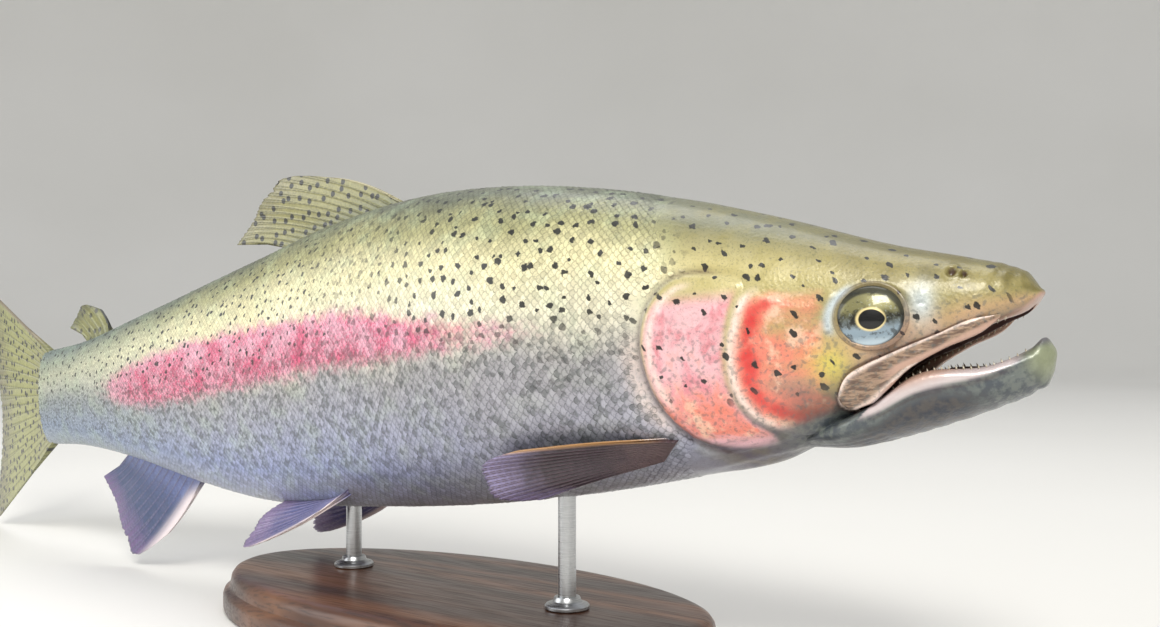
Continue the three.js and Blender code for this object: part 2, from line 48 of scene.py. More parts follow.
# ---- shape of the fish while it is straight, in millimetres: s back from the snout, y to its left, z up
fishShape = {
    "back": [[2.4, 6.8], [5, 11.2], [9.5, 14], [18, 16.8], [40, 23], [75, 35.5], [120, 49], [168, 58],
             [216, 61.5], [264, 58], [312, 48.5], [384, 33.5], [440, 24], [480, 22]],
    "belly": [[2.4, 5], [4.4, 2.8], [14, -2], [30, -9], [40, -13], [54, -26], [75, -36], [114, -43],
              [168, -49], [240, -52.5], [320, -49.5], [352, -43], [400, -31.5], [440, -25.5], [480, -24]],
    "halfWidth": [[2.4, 2.6], [4.4, 6.2], [8, 9.6], [14, 13.2], [30, 17.8], [48, 21.8], [75, 26.4],
                  [100, 29.2], [150, 32], [216, 32], [264, 30], [312, 25], [384, 16], [440, 9.4], [480, 6.2]],
    "widest": [[0, 6.4], [14, 3.5], [30, -0.5], [60, -4.5], [110, -1], [216, 4], [320, 2], [480, -1]],
    "roundBack": [[0, 2.2], [45, 2.5], [110, 2.15], [216, 2.05], [480, 2.2]],
    "roundBelly": [[0, 3], [40, 2.6], [110, 2.1], [240, 2.1], [480, 2.2]],
    "jawTop": [[0.4, -9], [2, -6.4], [6, -8.6], [14, -11.6], [36, -13.6], [46, -20], [76, -31]],
    "jawTopRoundness": [[0.4, 1.9], [5, 2.1], [14, 3], [76, 3]],
    "jawBottom": [[0.4, -12], [2, -17.4], [6, -20.6], [16, -24.6], [30, -28.8], [44, -32.2], [76, -37]],
    "jawHalfWidth": [[0.4, 2], [2, 5], [6, 8.2], [14, 12], [30, 16.6], [46, 19.6], [76, 23]],
    "mouthRoof": [[5.6, 4.4], [14, 3], [30, -3.4], [45, -8.5], [62, -19]],
    "mouthFloor": [[5.6, -12.5], [14, -17.2], [30, -20.6], [45, -24], [62, -26]],
    "mouthHalfWidth": [[5.6, 2.4], [9, 6.6], [14, 9.6], [30, 13.6], [45, 14.6], [62, 10]],
    "heading": [[0, -6.4], [98, -6.4], [126, -5.6], [184, 6], [240, 3], [312, -2.5], [384, -0.5],
                [480, 9.5], [575, 13]],
}
pose = {"tilt": 4.8, "axisHeight": 114, "baseAt": 214, "rodsAt": [158, 268]}


def smoothLine(knots):
    # A cubic through the knots, whose slope at each is the mean of both sides weighted by the other side's length.
    x, y = np.array(knots, float).T
    width = np.diff(x)
    rise = np.diff(y) / width
    slope = np.concatenate([rise[:1], (rise[:-1] * width[1:] + rise[1:] * width[:-1]) / (width[:-1] + width[1:]),
                            rise[-1:]])

    def value(at):
        at = np.clip(np.asarray(at, float), x[0], x[-1])
        i = np.clip(np.searchsorted(x, at, side="right") - 1, 0, len(width) - 1)
        t = (at - x[i]) / width[i]
        return ((1 + 2 * t) * (1 - t) ** 2 * y[i] + t * (1 - t) ** 2 * width[i] * slope[i]
                + t * t * (3 - 2 * t) * y[i + 1] + t * t * (t - 1) * width[i] * slope[i + 1])

    return value


line = {name: smoothLine(knots) for name, knots in fishShape.items()}


def ease(value, low, high):
    # 0 below low, 1 above high, and a smooth step between them.
    t = np.clip((np.asarray(value, float) - low) / (high - low), 0, 1)
    return t * t * (3 - 2 * t)


def hump(value, middle, width):
    # A bell of height 1 round the middle.
    return np.exp(-((value - middle) / width) ** 2)


spineAt = np.linspace(-25, 600, 1251)
spineTurn = np.radians(line["heading"](np.clip(spineAt, 0, None)))
spineStep = spineAt[1] - spineAt[0]
spineX = np.concatenate([[0], np.cumsum(-(np.cos(spineTurn[1:]) + np.cos(spineTurn[:-1])) / 2 * spineStep)])
spineY = np.concatenate([[0], np.cumsum((np.sin(spineTurn[1:]) + np.sin(spineTurn[:-1])) / 2 * spineStep)])
spineX -= np.interp(0, spineAt, spineX)
spineY -= np.interp(0, spineAt, spineY)


def bendFish(points):
    # A point keeps its distance from the spine while the spine takes its curve; then the whole fish tilts.
    points = np.asarray(points, float)
    s, y, z = points[..., 0], points[..., 1], points[..., 2]
    turn = np.interp(s, spineAt, spineTurn)
    x = np.interp(s, spineAt, spineX) + y * np.sin(turn)
    side = np.interp(s, spineAt, spineY) + y * np.cos(turn)
    tilt = math.radians(pose["tilt"])
    return np.stack([x * math.cos(tilt) - z * math.sin(tilt), side,
                     x * math.sin(tilt) + z * math.cos(tilt) + pose["axisHeight"]], -1)


def underBody(s):
    return bendFish([s, 0, float(line["belly"](s))])


baseLow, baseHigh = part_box("stand_base")
rowShift = np.array([(baseLow[0] + baseHigh[0]) / 2, (baseLow[1] + baseHigh[1]) / 2, 0])
rowShift[:2] -= underBody(pose["baseAt"])[:2] * mm


def toRow(points):
    return bendFish(points) * mm + rowShift


def ovalPoint(s, angle, top, bottom, middle, half, roundTop, roundBottom):
    # Oval across the fish: angle 0 is the top, and the cosine and sine are raised to 2/roundness.
    over = np.cos(angle) >= 0
    power = 2 / np.where(over, roundTop, roundBottom)
    rise = np.abs(np.cos(angle)) ** power * np.where(over, top - middle, bottom - middle)
    reach = np.abs(np.sin(angle)) ** power * half * np.sign(np.sin(angle))
    return np.stack(np.broadcast_arrays(s, reach, middle + rise), -1)


def bodyPoint(s, angle, grow=0.0):
    s = np.clip(s, 2.4, None)
    return ovalPoint(s, angle, line["back"](s) + grow, line["belly"](s) - grow, line["widest"](s),
                     line["halfWidth"](s) + grow, line["roundBack"](s), line["roundBelly"](s))


def gridNormals(points):
    # Cross product of the grid's own differences, across and along, of length 1.
    across = np.roll(points, -1, 1) - np.roll(points, 1, 1)
    along = np.gradient(points, axis=0)
    normal = -np.cross(across, along)
    return normal / np.maximum(np.linalg.norm(normal, axis=-1, keepdims=True), 1e-9)


def roundLine(points, closed=False, steps=8):
    # Catmull-Rom curve through the points.
    p = np.array(points, float)
    if closed:
        p = np.vstack([p[-1:], p, p[:2]])
    else:
        p = np.vstack([2 * p[:1] - p[1:2], p, 2 * p[-1:] - p[-2:-1]])
    t = np.linspace(0, 1, steps, endpoint=False)[None, :, None]
    a, b, c, d = p[:-3, None], p[1:-2, None], p[2:-1, None], p[3:, None]
    curve = 0.5 * (2 * b + (c - a) * t + (2 * a - 5 * b + 4 * c - d) * t ** 2 + (3 * b - a - 3 * c + d) * t ** 3)
    curve = curve.reshape(-1, p.shape[1])
    return curve if closed else np.vstack([curve, p[-2:-1]])


def lineGap(s, z, points, closed=False):
    # Distance to the nearest stretch of a side-view line, its sign by which side, and how far along it lies.
    a = np.array(points, float)
    b = np.roll(a, -1, 0) if closed else a[1:]
    a = a if closed else a[:-1]
    flat = np.stack([np.ravel(s), np.ravel(z)], -1)
    d = b - a
    offset = flat[:, None] - a[None]
    t = np.clip((offset * d).sum(-1) / np.maximum((d * d).sum(-1), 1e-9), 0, 1)
    away = offset - t[..., None] * d[None]
    gap = np.sqrt((away ** 2).sum(-1))
    nearest = gap.argmin(1)
    row = np.arange(len(flat))
    turn = d[nearest, 0] * offset[row, nearest, 1] - d[nearest, 1] * offset[row, nearest, 0]
    along = (nearest + t[row, nearest]) / len(a)
    shape = np.shape(s)
    return gap[row, nearest].reshape(shape), np.sign(turn).reshape(shape), along.reshape(shape)


# ---- meshes
def gridFaces(rows, columns, around=True, first=0):
    r = np.arange(rows - 1)[:, None]
    c = np.arange(columns if around else columns - 1)[None, :]
    n = (c + 1) % columns
    quads = np.stack([r * columns + c, r * columns + n, (r + 1) * columns + n, (r + 1) * columns + c], -1)
    return quads.reshape(-1, 4) + first


def poleFaces(pole, ring, flip):
    nextOne = np.roll(ring, -1)
    fan = np.stack([np.full(len(ring), pole), nextOne, ring], -1)
    return fan[:, ::-1] if flip else fan


def outsideOut(points, faces):
    # Turns every face round if the closed shape's volume comes out negative.
    volume = 0.0
    for kind in faces:
        for k in range(1, kind.shape[1] - 1):
            a, b, c = points[kind[:, 0]], points[kind[:, k]], points[kind[:, k + 1]]
            volume += (a * np.cross(b, c)).sum()
    return [kind[:, ::-1] for kind in faces] if volume < 0 else faces


def newMesh(name, points, faceSets, smooth=True):
    # Puts arrays of points and of 3- or 4-sided faces into a mesh.
    mesh = bpy.data.meshes.new(name)
    points = np.asarray(points, np.float32).reshape(-1, 3)
    loops = np.concatenate([np.asarray(f, np.int32).ravel() for f in faceSets])
    sizes = np.concatenate([np.full(len(f), f.shape[1], np.int32) for f in faceSets])
    starts = np.concatenate([[0], np.cumsum(sizes)[:-1]]).astype(np.int32)
    mesh.vertices.add(len(points))
    mesh.vertices.foreach_set("co", points.ravel())
    mesh.loops.add(len(loops))
    mesh.loops.foreach_set("vertex_index", loops)
    mesh.polygons.add(len(sizes))
    mesh.polygons.foreach_set("loop_start", starts)
    mesh.polygons.foreach_set("loop_total", sizes)
    mesh.update(calc_edges=True)
    mesh.validate()
    mesh.polygons.foreach_set("use_smooth", np.full(len(mesh.polygons), smooth))
    mesh.update()
    return mesh


def closedGrid(points):
    # A tube of rows that is closed by a point in the middle of each end row.
    rows, columns = points.shape[:2]
    flat = np.vstack([points.reshape(-1, 3), points[0].mean(0), points[-1].mean(0)])
    return flat, [gridFaces(rows, columns), poleFaces(rows * columns, np.arange(columns), False),
                  poleFaces(rows * columns + 1, np.arange(columns) + (rows - 1) * columns, True)]


def newPiece(name, mesh, material, nodes=()):
    piece = bpy.data.objects.new(name, mesh)
    bpy.context.scene.collection.objects.link(piece)
    mesh.materials.append(material)
    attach(piece, "root")
    if nodes:
        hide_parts(*nodes)
    return piece


def giveVectors(mesh, **layers):
    for name, values in layers.items():
        made = mesh.attributes.new(name, "FLOAT_VECTOR", "POINT")
        made.data.foreach_set("vector", np.asarray(values, np.float32).ravel())


def meshPoints(mesh):
    flat = np.empty(len(mesh.vertices) * 3, np.float32)
    mesh.vertices.foreach_get("co", flat)
    return flat.reshape(-1, 3).astype(float)


def meshEdges(mesh):
    flat = np.empty(len(mesh.edges) * 2, np.int32)
    mesh.edges.foreach_get("vertices", flat)
    return flat.reshape(-1, 2)


def cornerCreases(mesh, degrees):
    # Edges whose two faces differ by more than that angle.
    loopEdge = np.empty(len(mesh.loops), np.int32)
    mesh.loops.foreach_get("edge_index", loopEdge)
    total = np.empty(len(mesh.polygons), np.int32)
    mesh.polygons.foreach_get("loop_total", total)
    normal = np.empty(len(mesh.polygons) * 3, np.float32)
    mesh.polygons.foreach_get("normal", normal)
    normal = normal.reshape(-1, 3)
    face = np.repeat(np.arange(len(total)), total)
    order = np.argsort(loopEdge, kind="stable")
    edge, face = loopEdge[order], face[order]
    pair = np.flatnonzero(edge[:-1] == edge[1:])
    cosine = (normal[face[pair]] * normal[face[pair + 1]]).sum(1)
    return edge[pair[cosine < math.cos(math.radians(degrees))]]


def softenCreases(mesh, degrees, rings, rounds):
    # Points on sharp creases, and a few rings round them, move half way to the mean of their neighbours.
    edges = meshEdges(mesh)
    points = meshPoints(mesh)
    count = len(points)
    weight = np.zeros(count)
    weight[edges[cornerCreases(mesh, degrees)].ravel()] = 1
    for _ in range(rings):
        spread = weight.copy()
        np.maximum.at(spread, edges[:, 0], weight[edges[:, 1]] * 0.7)
        np.maximum.at(spread, edges[:, 1], weight[edges[:, 0]] * 0.7)
        weight = spread
    degree = np.bincount(edges.ravel(), minlength=count)
    for _ in range(rounds):
        total = np.stack([np.bincount(edges[:, 0], points[edges[:, 1], k], count)
                          + np.bincount(edges[:, 1], points[edges[:, 0], k], count) for k in range(3)], -1)
        mean = total / np.maximum(degree, 1)[:, None]
        points += (mean - points) * (weight * 0.5)[:, None]
    mesh.vertices.foreach_set("co", points.astype(np.float32).ravel())
    mesh.update()


def joinShapes(base, others, operation):
    # Exact union or difference of closed meshes.
    body = bpy.data.objects.new("shape", base)
    bpy.context.scene.collection.objects.link(body)
    helpers = []
    for other in others:
        tool = bpy.data.objects.new("tool", other)
        bpy.context.scene.collection.objects.link(tool)
        helpers.append(tool)
        cut = body.modifiers.new("cut", "BOOLEAN")
        cut.operation = operation
        cut.solver = "EXACT"
        cut.object = tool
    bpy.context.view_layer.update()
    result = bpy.data.meshes.new_from_object(body.evaluated_get(bpy.context.evaluated_depsgraph_get()))
    for made in [body, *helpers]:
        bpy.data.objects.remove(made)
    return result


# ---- where a point lies on the fish
wrapStations = np.linspace(2.4, 484, 242)
wrapAngles = np.linspace(0, math.pi, 181)
wrapRing = bodyPoint(wrapStations[:, None], wrapAngles[None, :])
wrapArc = np.concatenate([np.zeros((242, 1)), np.cumsum(np.linalg.norm(np.diff(wrapRing, axis=1), axis=-1), 1)], 1)


shareSteps = np.linspace(0, 1, 181)
angleAtShare = np.stack([np.interp(shareSteps, row, wrapAngles) for row in wrapArc / wrapArc[:, -1:]])


def fromTable(table, s, column):
    # Straight-line reading of a table whose rows follow the body's length and whose columns go down the flank.
    row = (np.clip(s, 2.4, 484) - 2.4) / (484 - 2.4) * 241
    r, c = np.clip(row.astype(int), 0, 240), np.clip(column.astype(int), 0, 179)
    fr, fc = row - r, column - c
    return ((1 - fr) * (1 - fc) * table[r, c] + (1 - fr) * fc * table[r, c + 1]
            + fr * (1 - fc) * table[r + 1, c] + fr * fc * table[r + 1, c + 1])


def bodyAngle(s, share):
    # Angle round the oval for a share of the way down from the back, so that what is laid out is evenly spaced.
    return fromTable(angleAtShare, s, np.clip(share, 0, 1) * 180)


def angleOf(s, y, z):
    # The angle round the oval at which a point lies, from the back down either flank.
    s = np.clip(s, 2.4, 484)
    middle = line["widest"](s)
    over = z >= middle
    rise = np.abs(z - middle) / np.where(over, line["back"](s) - middle, middle - line["belly"](s))
    power = np.where(over, line["roundBack"](s), line["roundBelly"](s)) / 2
    up = rise ** power * np.where(over, 1, -1)
    return np.arctan2((np.abs(y) / line["halfWidth"](s)) ** power, up)


def wrapOf(s, y, z):
    # Unrolled place on the skin: distance from the snout, signed distance round from the back, share of the way down.
    column = angleOf(s, y, z) / math.pi * 180
    arc = fromTable(wrapArc, s, column)
    full = np.interp(s, wrapStations, wrapArc[:, -1])
    return np.stack([s, arc * np.where(y >= 0, 1, -1), arc / full], -1)


headLines = {
    "cover": roundLine([[80, 15], [90, 18.5], [100, 18], [107.5, 11], [110.6, 0], [108.4, -14], [103, -24],
                        [95, -31], [83, -33], [74, -30.5], [79.5, -19], [83, -6], [82, 6]], True),
    "preopercle": roundLine([[76, 15], [81, 9.5], [84, -1], [84.4, -13], [80.5, -22.5], [72, -28.5], [58, -31]]),
    "suture": roundLine([[85, -17.5], [95, -16.5], [107, -11]]),
    "cheekRidge": roundLine([[55, 9], [60, 6.5], [68, 7.5], [77, 11]]),
    "cheekSeams": [roundLine([[54, -5], [63, -8.5], [76, -8]]), roundLine([[50, -8.5], [57, -17], [62, -25]]),
                   roundLine([[34, -5], [30, -1.5], [25, -0.5]])],
    "eyeCanal": roundLine([[31, 8], [31.4, 1], [35, -6.4], [43, -10.4], [52, -9.2], [57.4, -3.4], [58, 4], [55, 9.6]]),
    "eyeRim": [44.4, 2, 9.2, 8.05],
    "nostrils": [[20.2, 12.4, 0.9, 1.3], [23.4, 13.3, 1.25, 1.6]],
}
headLines["pores"] = np.vstack([headLines["eyeCanal"][3::6], headLines["preopercle"][6::6] - np.array([3.4, 0])])
maxillaShape = {
    "middle": [[12.2, 0.3], [16, -1.3], [26, -5], [36, -9.2], [44, -13.8], [49.2, -17.2], [52.6, -20.2]],
    "half": [[0, 0.5], [0.1, 1.9], [0.35, 2.2], [0.6, 3.1], [0.78, 4.5], [0.9, 4.9], [1, 3.2]],
    "proud": 1.35,           # mm over the cheek
    "deep": 1.8,             # mm sunk into it
}
maxillaMiddle = roundLine(maxillaShape["middle"], False, 12)
maxillaWalk = np.concatenate([[0], np.cumsum(np.linalg.norm(np.diff(maxillaMiddle, axis=0), axis=1))])
maxillaWalk /= maxillaWalk[-1]
bandLine = smoothLine([[60, 2], [100, 2], [142, 6], [181, 8.4], [236, 10.5], [301, 7.6], [375, 1.5], [440, -1],
                       [484, -1]])
bandStrength = smoothLine([[110, 0], [135, 0.1], [160, 0.34], [190, 0.62], [215, 0.88], [250, 1], [372, 1], [408, 0.2],
                           [430, 0], [484, 0]])


def coverDepth(s, z):
    # How far inside the gill cover's outline, negative outside it.
    gap, side, _ = lineGap(s, z, headLines["cover"], True)
    return gap * -side


def plateFront(s, z):
    # How far in front of the cheek plate's rear edge, negative behind it.
    gap, side, _ = lineGap(s, z, headLines["preopercle"])
    return gap * -side


def eyeDistance(s, z):
    # 1 on the eye's opening, seen from the side, and growing outwards.
    s0, z0, halfLong, halfTall = headLines["eyeRim"]
    return np.sqrt(((s - s0) / halfLong) ** 2 + ((z - z0) / halfTall) ** 2)


def nostrilDistance(s, z):
    # 1 on the nearer nostril's edge.
    return np.min([np.hypot(s - at, z - up) / radius for at, up, radius, _ in headLines["nostrils"]], 0)


def maxillaShare(s, z):
    # 0 on the middle of the upper jaw's side bone, 1 at its edge.
    gap, _, along = lineGap(s, z, maxillaMiddle)
    run = np.interp(along * (len(maxillaMiddle) - 1), np.arange(len(maxillaMiddle)), maxillaWalk)
    return gap / smoothLine(maxillaShape["half"])(run)


def markPoints(points):
    # Masks of the colour regions at points of the straight fish, all worked out from s, y and z.
    s, y, z = points[:, 0], points[:, 1], points[:, 2]
    wrap = wrapOf(s, y, z)
    share = wrap[:, 2]
    near = s < 125
    inCover = np.full(len(s), -50.0)
    front = np.full(len(s), -50.0)
    inCover[near] = coverDepth(s[near], z[near])
    front[near] = plateFront(s[near], z[near])
    onFlank = ease(share, 0.16, 0.24)

    width = 4.5 + 4.0 * ease(s, 120, 260) - 3.0 * ease(s, 330, 450)
    band = hump(z, bandLine(s), width * 1.15) * bandStrength(s) * ease(np.abs(y), 2, 5)
    onHead = np.maximum(1 - ease(s - 0.42 * np.clip(z - 8, 0, 30), 84, 104), ease(inCover, -0.6, 0.6))
    spots = ease(share, 0.0, 0.02) * (1 - 0.5 * ease(share, 0.42, 0.52)) * (1 - 0.75 * ease(share, 0.55, 0.70))
    spots *= 1 - ease(share, 0.70, 0.82)
    spots = np.where(s < 112, np.maximum(spots, onHead * ease(share, 0.0, 0.02) * ease(z, -24, -14)), spots)
    spots *= ease(s, 6, 11)

    cheek = ease(s, 53, 61) * ease(front, 0.2, 1.8) * ease(z + 0.18 * (s - 70), -30, -25) * (1 - ease(z, 8, 14))
    red = cheek * (0.50 + 0.5 * hump(front, 6.0, 3.6))
    cover = ease(inCover, 0, 2.5) * ease(-front, 0.4, 2.6) * (1 - ease(z, 9, 15)) * (s > 62)
    red = np.maximum(red, cover * (0.14 + 0.5 * ease(-z, 7, 20) * (1 - 0.6 * ease(s, 97, 108)) * ease(z, -31, -26)))
    red = np.maximum(red, 0.7 * hump(np.hypot((s - 103) / 1.2, z + 22), 0, 6.5) * ease(inCover, -1, 0.5))
    pale = hump(front, 1.2, 1.5) * (1 - ease(z, 9, 15)) * ease(z, -30, -24) * (s < 92) * (s > 62)
    pale = np.maximum(pale, 0.6 * hump(inCover, -3.2, 3.2) * ease(s, 97, 104) * ease(z, -30, -22) * (1 - ease(z, -2, 6)))
    pale = np.maximum(pale, 0.75 * hump(inCover, 3.0, 1.1) * ease(s, 92, 100) * ease(z, -24, -16))

    away = eyeDistance(s, z)
    crescent = hump(away, 1.24, 0.14) * ease(s, 47, 52) * ease(z, -3, 1)
    frontOfEye = hump(s, 31.0, 3.6) * hump(z, 5, 5.5)
    silver = np.clip(crescent + 0.8 * frontOfEye, 0, 1)
    gold = hump(np.hypot((s - 56) / 1.05, (z + 9.5)), 0, 5.5)

    mouthMid = (line["mouthRoof"](s) + line["mouthFloor"](s)) / 2
    mouthTall = (line["mouthRoof"](s) - line["mouthFloor"](s)) / 2
    inside = (np.abs(y) / line["mouthHalfWidth"](s)) ** 2.4 + (np.abs(z - mouthMid) / mouthTall) ** 2.5
    inside = np.where((s > 5.3) & (s < 62.6), inside, 9)
    lining = 1 - ease(inside, 1.02, 1.12)
    under = line["jawTop"](s) - z
    upperLip = (1 - ease(z - line["belly"](s), 0.7, 1.7)) * (1 - ease(s, 38, 44)) * (under < -2)
    lipTall = 2.4 + 3.4 * hump(s, 34, 14)
    lowerLip = (1 - ease(under, lipTall - 0.8, lipTall + 0.5)) * (1 - ease(s, 46, 54)) * (z < line["belly"](s) - 2.5) * ease(s, 6, 11)
    jaw = ease(-z - 0.28 * s, 4.6, 8.5) * (1 - ease(s, 60, 86))
    # jawUnderShade: painted shade on the lower side of the jaw
    jawUnderShade = ease(under, 4.5, 10) * ease(s, 12, 26)
    jawTip = (1 - ease(np.sqrt((s - 2.5) ** 2 + (z + 11.5) ** 2 + 0.3 * y ** 2), 2.5, 9)) * jaw

    bone = maxillaShare(s, z)
    onBone = (1 - ease(bone, 0.94, 1.04)) * (s > 13) * (s < 58)
    # boneEdge: the side bone's pale rim, partly its own pale border and partly a painted highlight on its raised edges.
    boneEdge = hump(bone, 0.88, 0.16) * onBone
    # creviceShade is painted shade: darkening in the gap behind the gill cover, in the nostrils, along the groove round
    # the upper jaw's side bone and below the lower lip.
    creviceShade = np.maximum(0.7 * hump(inCover, -0.9, 0.8) * ease(s, 84, 92), 1 - ease(nostrilDistance(s, z), 0.55, 1.05))
    creviceShade = np.maximum(creviceShade, hump(bone, 1.12, 0.09) * (s > 20) * (s < 58) * (z > -24))
    creviceShade = np.maximum(creviceShade, 0.5 * hump(under, lipTall + 1.0, 0.5) * ease(s, 8, 14) * (1 - ease(s, 44, 50)) * jaw)
    return {
        "fishPlace": points,
        "fishWrap": wrap,
        "bodyMarks": np.stack([band, share, spots * (1 - jaw)], -1),
        "headMarks": np.stack([red * onFlank, cover * onFlank, onHead], -1),
        "faceMarks": np.stack([silver * onFlank, gold * onFlank, jaw], -1),
        "mouthMarks": np.stack([lining, np.maximum(upperLip, lowerLip), np.clip(creviceShade, 0, 1) * onFlank], -1),
        "jawMarks": np.stack([onBone * onFlank, jawTip, jawUnderShade], -1),
        "edgeMarks": np.stack([np.maximum(pale, boneEdge) * onFlank, np.clip(inCover, -5, 30), boneEdge], -1),
    }


# ---- materials
def tone(red, green, blue):
    # Screen colour 0 to 255 as the linear colour that a shader takes.
    share = np.array([red, green, blue]) / 255
    linear = np.where(share <= 0.04045, share / 12.92, ((share + 0.055) / 1.055) ** 2.4)
    return (*map(float, linear), 1.0)


def put(tree, kind, sockets=None, **settings):
    made = tree.nodes.new(kind)
    for name, value in settings.items():
        setattr(made, name, value)
    for name, value in (sockets or {}).items():
        if isinstance(value, bpy.types.NodeSocket):
            tree.links.new(value, made.inputs[name])
        else:
            made.inputs[name].default_value = value
    return made


def calc(tree, operation, *values, clamp=False):
    made = put(tree, "ShaderNodeMath", dict(enumerate(values)), operation=operation)
    made.use_clamp = clamp
    return made.outputs[0]


def without(tree, value, mask):
    return calc(tree, "MULTIPLY", value, calc(tree, "SUBTRACT", 1.0, mask, clamp=True))


def mixTone(tree, share, first, second, blend="MIX"):
    made = put(tree, "ShaderNodeMix", {0: share, 6: first, 7: second}, data_type="RGBA", blend_type=blend)
    return made.outputs[2]


def shade(tree, colour, lightness):
    # The colour times a grey.
    grey = put(tree, "ShaderNodeCombineColor", {0: lightness, 1: lightness, 2: lightness}).outputs[0]
    return mixTone(tree, 1.0, colour, grey, "MULTIPLY")


def step(tree, value, low, high, to=(0.0, 1.0)):
    made = put(tree, "ShaderNodeMapRange", {0: value, 1: low, 2: high, 3: to[0], 4: to[1]},
               interpolation_type="SMOOTHSTEP")
    return made.outputs[0]


def noise(tree, vector, scale, detail=2.0, roughness=0.5):
    return put(tree, "ShaderNodeTexNoise", {"Vector": vector, "Scale": scale, "Detail": detail,
                                            "Roughness": roughness}).outputs["Fac"]


def split(tree, vector):
    return put(tree, "ShaderNodeSeparateXYZ", {0: vector}).outputs


def ramp(tree, value, stops):
    made = put(tree, "ShaderNodeValToRGB", {0: value})
    while len(made.color_ramp.elements) < len(stops):
        made.color_ramp.elements.new(1.0)
    for element, (at, colour) in zip(made.color_ramp.elements, stops):
        element.position = at
        element.color = colour
    return made.outputs[0]


def newMaterial(name):
    material = bpy.data.materials.new(name)
    material.use_nodes = True
    tree = material.node_tree
    return material, tree, tree.nodes["Principled BSDF"]


def layerVector(tree, name):
    return put(tree, "ShaderNodeAttribute", attribute_name=name).outputs["Vector"]


def newGroup(name, inputs, outputs):
    group = bpy.data.node_groups.new(name, "ShaderNodeTree")
    for label, kind in inputs:
        group.interface.new_socket(label, in_out="INPUT", socket_type="NodeSocket" + kind)
    for label, kind in outputs:
        group.interface.new_socket(label, in_out="OUTPUT", socket_type="NodeSocket" + kind)
    return group, put(group, "NodeGroupInput").outputs, put(group, "NodeGroupOutput").inputs


skinTones = {
    "back": tone(100, 104, 84),
    "shoulder": tone(164, 161, 116),
    "upperFlank": tone(222, 213, 168),
    "flank": tone(224, 218, 192),
    "lowerFlank": tone(170, 168, 170),
    # the belly's own pale silver with painted cool shade
    "belly": tone(154, 164, 202),
    "underBelly": tone(196, 198, 210),
    "tailward": tone(134, 152, 154),
    "headTop": tone(106, 106, 78),
    "headSide": tone(186, 174, 120),
    "cheek": tone(190, 156, 122),
    # painted shade under the head
    "throat": tone(86, 78, 90),
    "rose": tone(202, 86, 118),
    "roseLight": tone(222, 166, 182),
    "redDeep": tone(206, 58, 54),
    "redLight": tone(226, 128, 108),
    "pinkLight": tone(232, 196, 204),
    "pinkDeep": tone(216, 134, 146),
    "bone": tone(240, 218, 206),
    "gold": tone(204, 190, 84),
    "cream": tone(236, 200, 172),
    # own olive darkened as painted shade
    "snout": tone(106, 96, 46),
    # painted shade
    "lowCheekShade": tone(84, 72, 58),
    "silver": tone(196, 208, 214),
    # The jaw's tones are its own slate colour darkened partly as painted shade under the head; jawUnderShade is the
    # painted shade of the jaw's lower side.
    "jaw": tone(104, 110, 106),
    "jawUnderShade": tone(50, 54, 64),
    "jawCool": tone(70, 76, 82),
    "jawBrown": tone(78, 74, 72),
    "jawTip": tone(156, 162, 124),
    "maxilla": tone(156, 130, 108),
    "maxillaDark": tone(98, 76, 64),
    "upperLip": tone(192, 156, 138),
    "lipPink": tone(204, 184, 182),
    "lip": tone(214, 206, 206),
    "mouth": tone(52, 38, 36),
    "spot": tone(26, 26, 24),
    # painted shade for creases, gaps and pits
    "creviceShade": tone(64, 34, 34),
}


def spotLayer(tree, vector, spacing, low, high, keep):
    # One spot in each cell of a Voronoi lattice on the unrolled skin, some cells left empty.
    cells = put(tree, "ShaderNodeTexVoronoi", {"Vector": vector, "Scale": 1 / spacing, "Randomness": 0.82},
                voronoi_dimensions="2D")
    random = put(tree, "ShaderNodeSeparateColor", {0: cells.outputs["Color"]}).outputs
    size = calc(tree, "MULTIPLY_ADD", random[1], (high - low) / spacing, low / spacing)
    inner = calc(tree, "MULTIPLY", size, 0.72)
    filled = step(tree, cells.outputs["Distance"], inner, size, (1.0, 0.0))
    kept = calc(tree, "LESS_THAN", random[0], keep)
    return calc(tree, "MULTIPLY", filled, kept)


def buildSpots(group, place, wrap, onHead, onCheek):
    # Spots with uneven edges: fewer and larger on the head, smaller towards the tail.
    wander = put(group, "ShaderNodeTexNoise", {"Vector": wrap, "Scale": 0.5, "Detail": 3.0})
    shift = put(group, "ShaderNodeVectorMath", {0: wander.outputs["Color"], 1: (0.5, 0.5, 0.5)},
                operation="SUBTRACT").outputs[0]
    shift = put(group, "ShaderNodeVectorMath", {0: shift, "Scale": 2.6}, operation="SCALE").outputs[0]
    at = put(group, "ShaderNodeVectorMath", {0: wrap, 1: shift}, operation="ADD").outputs[0]
    along = split(group, place)[0]
    body = put(group, "ShaderNodeMix", {0: step(group, along, 170.0, 290.0), 2: spotLayer(group, at, 5.7, 0.8, 1.45, 0.93),
                                        3: spotLayer(group, at, 4.5, 0.55, 1.05, 0.9)}).outputs[0]
    few = calc(group, "MULTIPLY_ADD", onCheek, -0.45, 0.92)
    head = spotLayer(group, at, 6.4, 0.6, 1.25, few)
    return put(group, "ShaderNodeMix", {0: onHead, 2: body, 3: head}).outputs[0]


